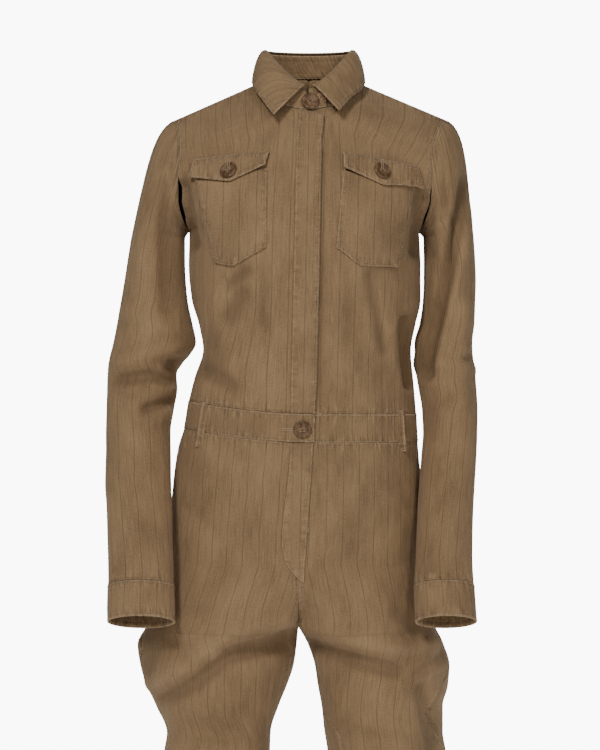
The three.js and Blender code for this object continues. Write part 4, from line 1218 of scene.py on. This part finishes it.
sew("top_stitches", top_stitch_lines(), 3.4, 2.6, 0.9)
sew("fine_stitches", fine_lines(), 2.6, 2.0, 0.7, seed=9)
sew("bar_tacks", bar_lines(), 0.8, 2.4, 0.75, turn=90, lean=6, seed=12)
sew("button_threads", thread_bars, 4.4, 5.2, 0.8, lean=0)


def fade(value, low, high, to_low=0.0, to_high=1.0):
    """A soft step from to_low at low to to_high at high."""
    return add(value.tree, "ShaderNodeMapRange", {
        "Value": value, "From Min": low, "From Max": high, "To Min": to_low, "To Max": to_high,
    }, interpolation_type="SMOOTHSTEP")


def fall(value, low, high):
    """A soft step from 1 at low to 0 at high."""
    return fade(value, low, high, 1.0, 0.0)


def blend(factor, first, second):
    tree = tree_of(factor, first, second)
    return add(tree, "ShaderNodeMix", {0: factor, 6: first, 7: second}, out=2, data_type="RGBA")


def stretched(place, size):
    return add(place.tree, "ShaderNodeVectorMath", {0: place, 1: size}, operation="MULTIPLY")


def grained(place, scale, detail):
    """Noise of one scale, or of its own scale along each axis."""
    if isinstance(scale, tuple):
        place, scale = stretched(place, scale), 1.0
    return add(place.tree, "ShaderNodeTexNoise", {"Vector": place, "Scale": scale, "Detail": detail})


def split(vector):
    """The X, Y and Z of a vector."""
    parts = vector.tree.nodes.new("ShaderNodeSeparateXYZ")
    vector.tree.links.new(vector.end, parts.inputs[0])
    return [Socket(vector.tree, end) for end in parts.outputs]


def mark(tree, name):
    """A value that the cloth meshes carry at each point."""
    return add(tree, "ShaderNodeAttribute", out=2, attribute_name=name)


def bumped(height, strength, distance):
    return add(height.tree, "ShaderNodeBump", {"Height": height, "Strength": strength, "Distance": distance})


def emptied(material):
    material.use_nodes = True
    material.node_tree.nodes.clear()
    return material.node_tree


def surface(tone, rough, bump, constants):
    """The material's shader: varying colour, roughness and relief, and constant other values."""
    tree = tone.tree
    values = {"Base Color": tone, "Roughness": rough, "Normal": bump, **constants}
    add(tree, "ShaderNodeOutputMaterial", {"Surface": add(tree, "ShaderNodeBsdfPrincipled", values)})


# Iron creases on the shoulders and chest: lines in the front view, in millimetres.
CREASES = [
    (-114, -14, -60, -16, 0.8), (66, -24, 168, -32, 0.8), (-160, -29, -116, -31, 0.6),
    (-122, -70, -75, -53, 0.9), (86, -60, 122, -86, 0.9), (-22, -500, -40, -640, 0.5),
    (-105, -560, -60, -575, 0.5), (60, -530, 120, -545, 0.5),
]
DRILL = {
    "cloth": (0.248, 0.149, 0.069, 1),
    "stripe": (0.115, 0.07, 0.038, 1),
    "worn": (0.44, 0.285, 0.148, 1),
    "rubbed": (0.56, 0.385, 0.22, 1),
    # shade: the dark end of the cloth's random tone, and also the colour of painted shade in fold troughs,
    # pucker hollows and on the inner side of the cloth.
    "shade": (0.135, 0.083, 0.041, 1),
}
STRIPE_STEP = 22.0
TWILL_STEP = 1.9


def ironed_lines(tree):
    """The iron creases, on the front of the suit only."""
    px, py, pz = split(add(tree, "ShaderNodeTexCoord", out="Object"))
    ironed = 0.0
    for x0, z0, x1, z1, high in CREASES:
        long = math.hypot(x1 - x0, z1 - z0)
        ux, uz = (x1 - x0) / long, (z1 - z0) / long
        run = (px * 1000 - x0) * ux + (pz * 1000 - z0) * uz
        off = calc("ABSOLUTE", (px * 1000 - x0) * uz - (pz * 1000 - z0) * ux)
        line = fall(off, 0.0, 2.6) * fade(run, 0.0, 12.0) * fall(run, long - 12, long)
        ironed = line * high + ironed
    return ironed * fall(py, -0.03, 0.0)


def drill_cloth(material):
    """Fine cotton drill in a narrow herringbone, with thin darker stripes."""
    tree = emptied(material)
    millimetre = stretched(add(tree, "ShaderNodeUVMap", uv_map="cloth"), (1000, 1000, 1000))
    across, along, _ = split(millimetre)
    long_seam, cross_seam, raised = (mark(tree, name) for name in ("long_seam", "cross_seam", "fold"))
    seam = calc("MINIMUM", long_seam, cross_seam)

    bent = across + (grained(millimetre, (0.02, 0.008, 0.02), 1.0) - 0.5) * 0.9
    to_stripe = calc("PINGPONG", bent, STRIPE_STEP / 2)
    to_faint = calc("PINGPONG", bent + STRIPE_STEP / 2, STRIPE_STEP / 2)
    broken = grained(millimetre, (0.3, 0.05, 0.3), 2.0)
    stripe = fall(to_stripe, 0.25, 1.5) * fade(broken, 0.25, 0.6, 0.62, 1.0)
    faint = fall(to_faint, 0.2, 1.1)
    beside_stripe = fall(to_stripe, 1.1, 3.2)

    twill = calc("SINE", (along + to_stripe) * (2 * math.pi / TWILL_STEP))
    slub = grained(millimetre, (0.9, 0.035, 0.9), 3.0) - 0.5
    yarn = grained(millimetre, (0.1, 1.1, 0.1), 2.0) - 0.5
    grain = grained(millimetre, 0.55, 3.0) - 0.5
    cloudy = grained(millimetre, (0.02, 0.012, 0.02), 4.0) - 0.5

    shade = 0.5 + slub * 0.62 + grain * 0.62 + cloudy * 0.7 + yarn * 0.2
    shade = shade + twill * 0.045 + beside_stripe * 0.05
    tone = blend(fade(shade, 0.1, 0.9), DRILL["shade"], DRILL["worn"])
    tone = blend(0.3, tone, DRILL["cloth"])
    tone = blend(stripe * 0.55 + faint * 0.15, tone, DRILL["stripe"])

    gathers = fall(cross_seam, 2.0, 19.0) * (grained(millimetre, (0.19, 0.035, 0.1), 1.0) - 0.5)
    drags = fall(long_seam, 2.0, 15.0) * (grained(millimetre, (0.035, 0.17, 0.1), 1.0) - 0.5)
    pucker = gathers * 9.0 + drags * 4.0

    ragged = grained(millimetre, (0.25, 0.25, 0.25), 3.0)
    edge = fall(seam, 0.4, 2.6) * fade(ragged, 0.32, 0.62, 0.25, 1.0)
    crest = fade(raised, 1.0, 7.0) * fade(ragged, 0.3, 0.7, 0.4, 1.0)
    # Painted shade: fold troughs are darkened, the more the deeper they sink.
    painted_trough_shade = fall(raised, -6.0, -0.5)
    ridges = fade(gathers + drags * 0.6, 0.02, 0.16) * 0.45
    tone = blend(crest * 0.24 + ridges, tone, DRILL["worn"])
    tone = blend(edge * 0.8, tone, DRILL["rubbed"])
    # Painted shade in the fold troughs and in the hollows of the seam puckers.
    tone = blend(painted_trough_shade * 0.5 + fade(gathers + drags, -0.2, -0.03, 0.3, 0.0), tone, DRILL["shade"])
    # Painted shade: the inner side of the cloth is darkened.
    painted_inside_shade = add(tree, "ShaderNodeNewGeometry", out="Backfacing")
    tone = blend(painted_inside_shade * 0.35, tone, DRILL["shade"])

    groove = fade(seam, 0.0, 1.6) * 0.9
    for distance, depth in ((2.2, 0.5), (8.0, 0.34)):
        groove = groove - fall(calc("ABSOLUTE", seam - distance), 0.2, 1.5) * depth
    rumple = (grained(millimetre, (0.034, 0.022, 0.03), 2.0) - 0.5) * 5.0
    ironed = ironed_lines(tree)
    tone = blend(ironed * 0.16, tone, DRILL["worn"])

    weave = twill * 0.11 + slub * 0.2 + grain * 0.24 - stripe * 0.09
    bump = bumped(weave + pucker + groove + rumple + ironed * 0.5, 0.85, 0.001)
    rough = 0.8 + grain * 0.22 - crest * 0.1 - edge * 0.08
    surface(tone, rough, bump, {
        "Sheen Weight": 0.22, "Sheen Roughness": 0.5, "Sheen Tint": (0.9, 0.74, 0.55, 1),
        "Specular IOR Level": 0.22,
    })


RESIN = {"dark": (0.075, 0.038, 0.017, 1), "light": (0.19, 0.11, 0.053, 1), "fleck": (0.3, 0.19, 0.1, 1)}
THREAD = {"dark": (0.3, 0.19, 0.105, 1), "light": (0.52, 0.36, 0.22, 1)}


def resin(material):
    """Mottled brown resin, with its roughness varying along the streaks."""
    tree = emptied(material)
    place = add(tree, "ShaderNodeTexCoord", out="Object")
    clouds = grained(place, 210.0, 4.0)
    streaks = grained(stretched(place, (1.0, 1.0, 0.35)), 420.0, 3.0)
    flecks = add(tree, "ShaderNodeTexVoronoi", {"Vector": place, "Scale": 700.0})
    ramp = tree.nodes.new("ShaderNodeValToRGB")
    for stop, at, shade in zip(ramp.color_ramp.elements, (0.1, 0.9), ("dark", "light")):
        stop.position, stop.color = at, RESIN[shade]
    tree.links.new(fade(clouds + (streaks - 0.5) * 0.5, 0.3, 0.72).end, ramp.inputs["Fac"])
    tone = blend(fade(flecks, 0.0, 0.24, 0.25, 0.0), Socket(tree, ramp.outputs[0]), RESIN["fleck"])
    rough = fade(streaks, 0.3, 0.7, 0.46, 0.62)
    surface(tone, rough, bumped(clouds + streaks * 0.4, 0.12, 0.0002), {"Specular IOR Level": 0.3})


def sewing_thread(material):
    """Twisted cotton thread, a shade lighter than the cloth."""
    place = add(emptied(material), "ShaderNodeTexCoord", out="Object")
    fuzz = grained(place, 1800.0, 2.0)
    runs = grained(place, 30.0, 3.0)
    tone = blend(fade(fuzz * 0.5 + runs * 0.5, 0.3, 0.7), THREAD["dark"], THREAD["light"])
    rough = fade(fuzz, 0.2, 0.8, 0.55, 0.75)
    surface(tone, rough, bumped(fuzz, 0.4, 0.0002), {"Specular IOR Level": 0.3})


drill_cloth(cloth_material)
resin(button_material)
sewing_thread(thread_material)


# Camera: level and straight in front, framed as in the photo.
CAMERA_AWAY = 3.0
FRAME_HEIGHT = 1.0125
camera = placed("camera", bpy.data.cameras.new("camera"))
bpy.context.scene.camera = camera
camera.location = (-0.00675, -CAMERA_AWAY, -0.38745)
camera.rotation_euler = (math.radians(90), 0, 0)
camera.data.sensor_width = 36
camera.data.lens = 36 * CAMERA_AWAY / FRAME_HEIGHT

# A white studio: the world is brighter where it is seen than where it lights the cloth.
WORLD_SEEN = 9.6
WORLD_LIGHT = 0.1
world = bpy.data.worlds.new("studio")
bpy.context.scene.world = world
world.use_nodes = True
bright = add(world.node_tree, "ShaderNodeLightPath", out="Is Camera Ray") * WORLD_SEEN + WORLD_LIGHT
backdrop = world.node_tree.nodes["Background"]
backdrop.inputs["Color"].default_value = (1, 1, 1, 1)
world.node_tree.links.new(bright.end, backdrop.inputs["Strength"])

# The floor lies where the soles of a wearer's shoes would be, a little below the hems.
FLOOR = {"reach": 2.6, "z": (HEM - 38) / 1000}
FLOOR_PAINT = {
    "Base Color": (0.9, 0.9, 0.9, 1), "Emission Color": (1, 1, 1, 1), "Emission Strength": 0.5,
    "Roughness": 0.7,
}
floor_mesh = bpy.data.meshes.new("floor")
corners = np.array([(-1, -1), (1, -1), (1, 1), (-1, 1)]) * FLOOR["reach"]
floor_mesh.from_pydata([(x, y, FLOOR["z"]) for x, y in corners.tolist()], [], [(0, 1, 2, 3)])
floor = placed("floor", floor_mesh)
floor_paint = bpy.data.materials.new("floor")
floor_paint.use_nodes = True
for label, value in FLOOR_PAINT.items():
    floor_paint.node_tree.nodes["Principled BSDF"].inputs[label].default_value = value
floor_mesh.materials.append(floor_paint)


def area_light(name, place, target, size, power):
    lamp = bpy.data.lights.new(name, "AREA")
    lamp.shape = "RECTANGLE"
    lamp.size, lamp.size_y = size
    lamp.energy = power
    body = placed(name, lamp)
    body.location = place
    body.rotation_euler = (Vector(target) - Vector(place)).to_track_quat("-Z", "Y").to_euler()


area_light("key", (-1.1, -2.6, 1.75), (0, 0, -0.3), (0.7, 0.7), power=61)
area_light("fill", (1.2, -2.8, 0.75), (0, 0, -0.35), (0.8, 0.8), power=25)
area_light("rim", (0.3, 2.6, 1.0), (0, 0, -0.4), (1.8, 1.6), power=50)
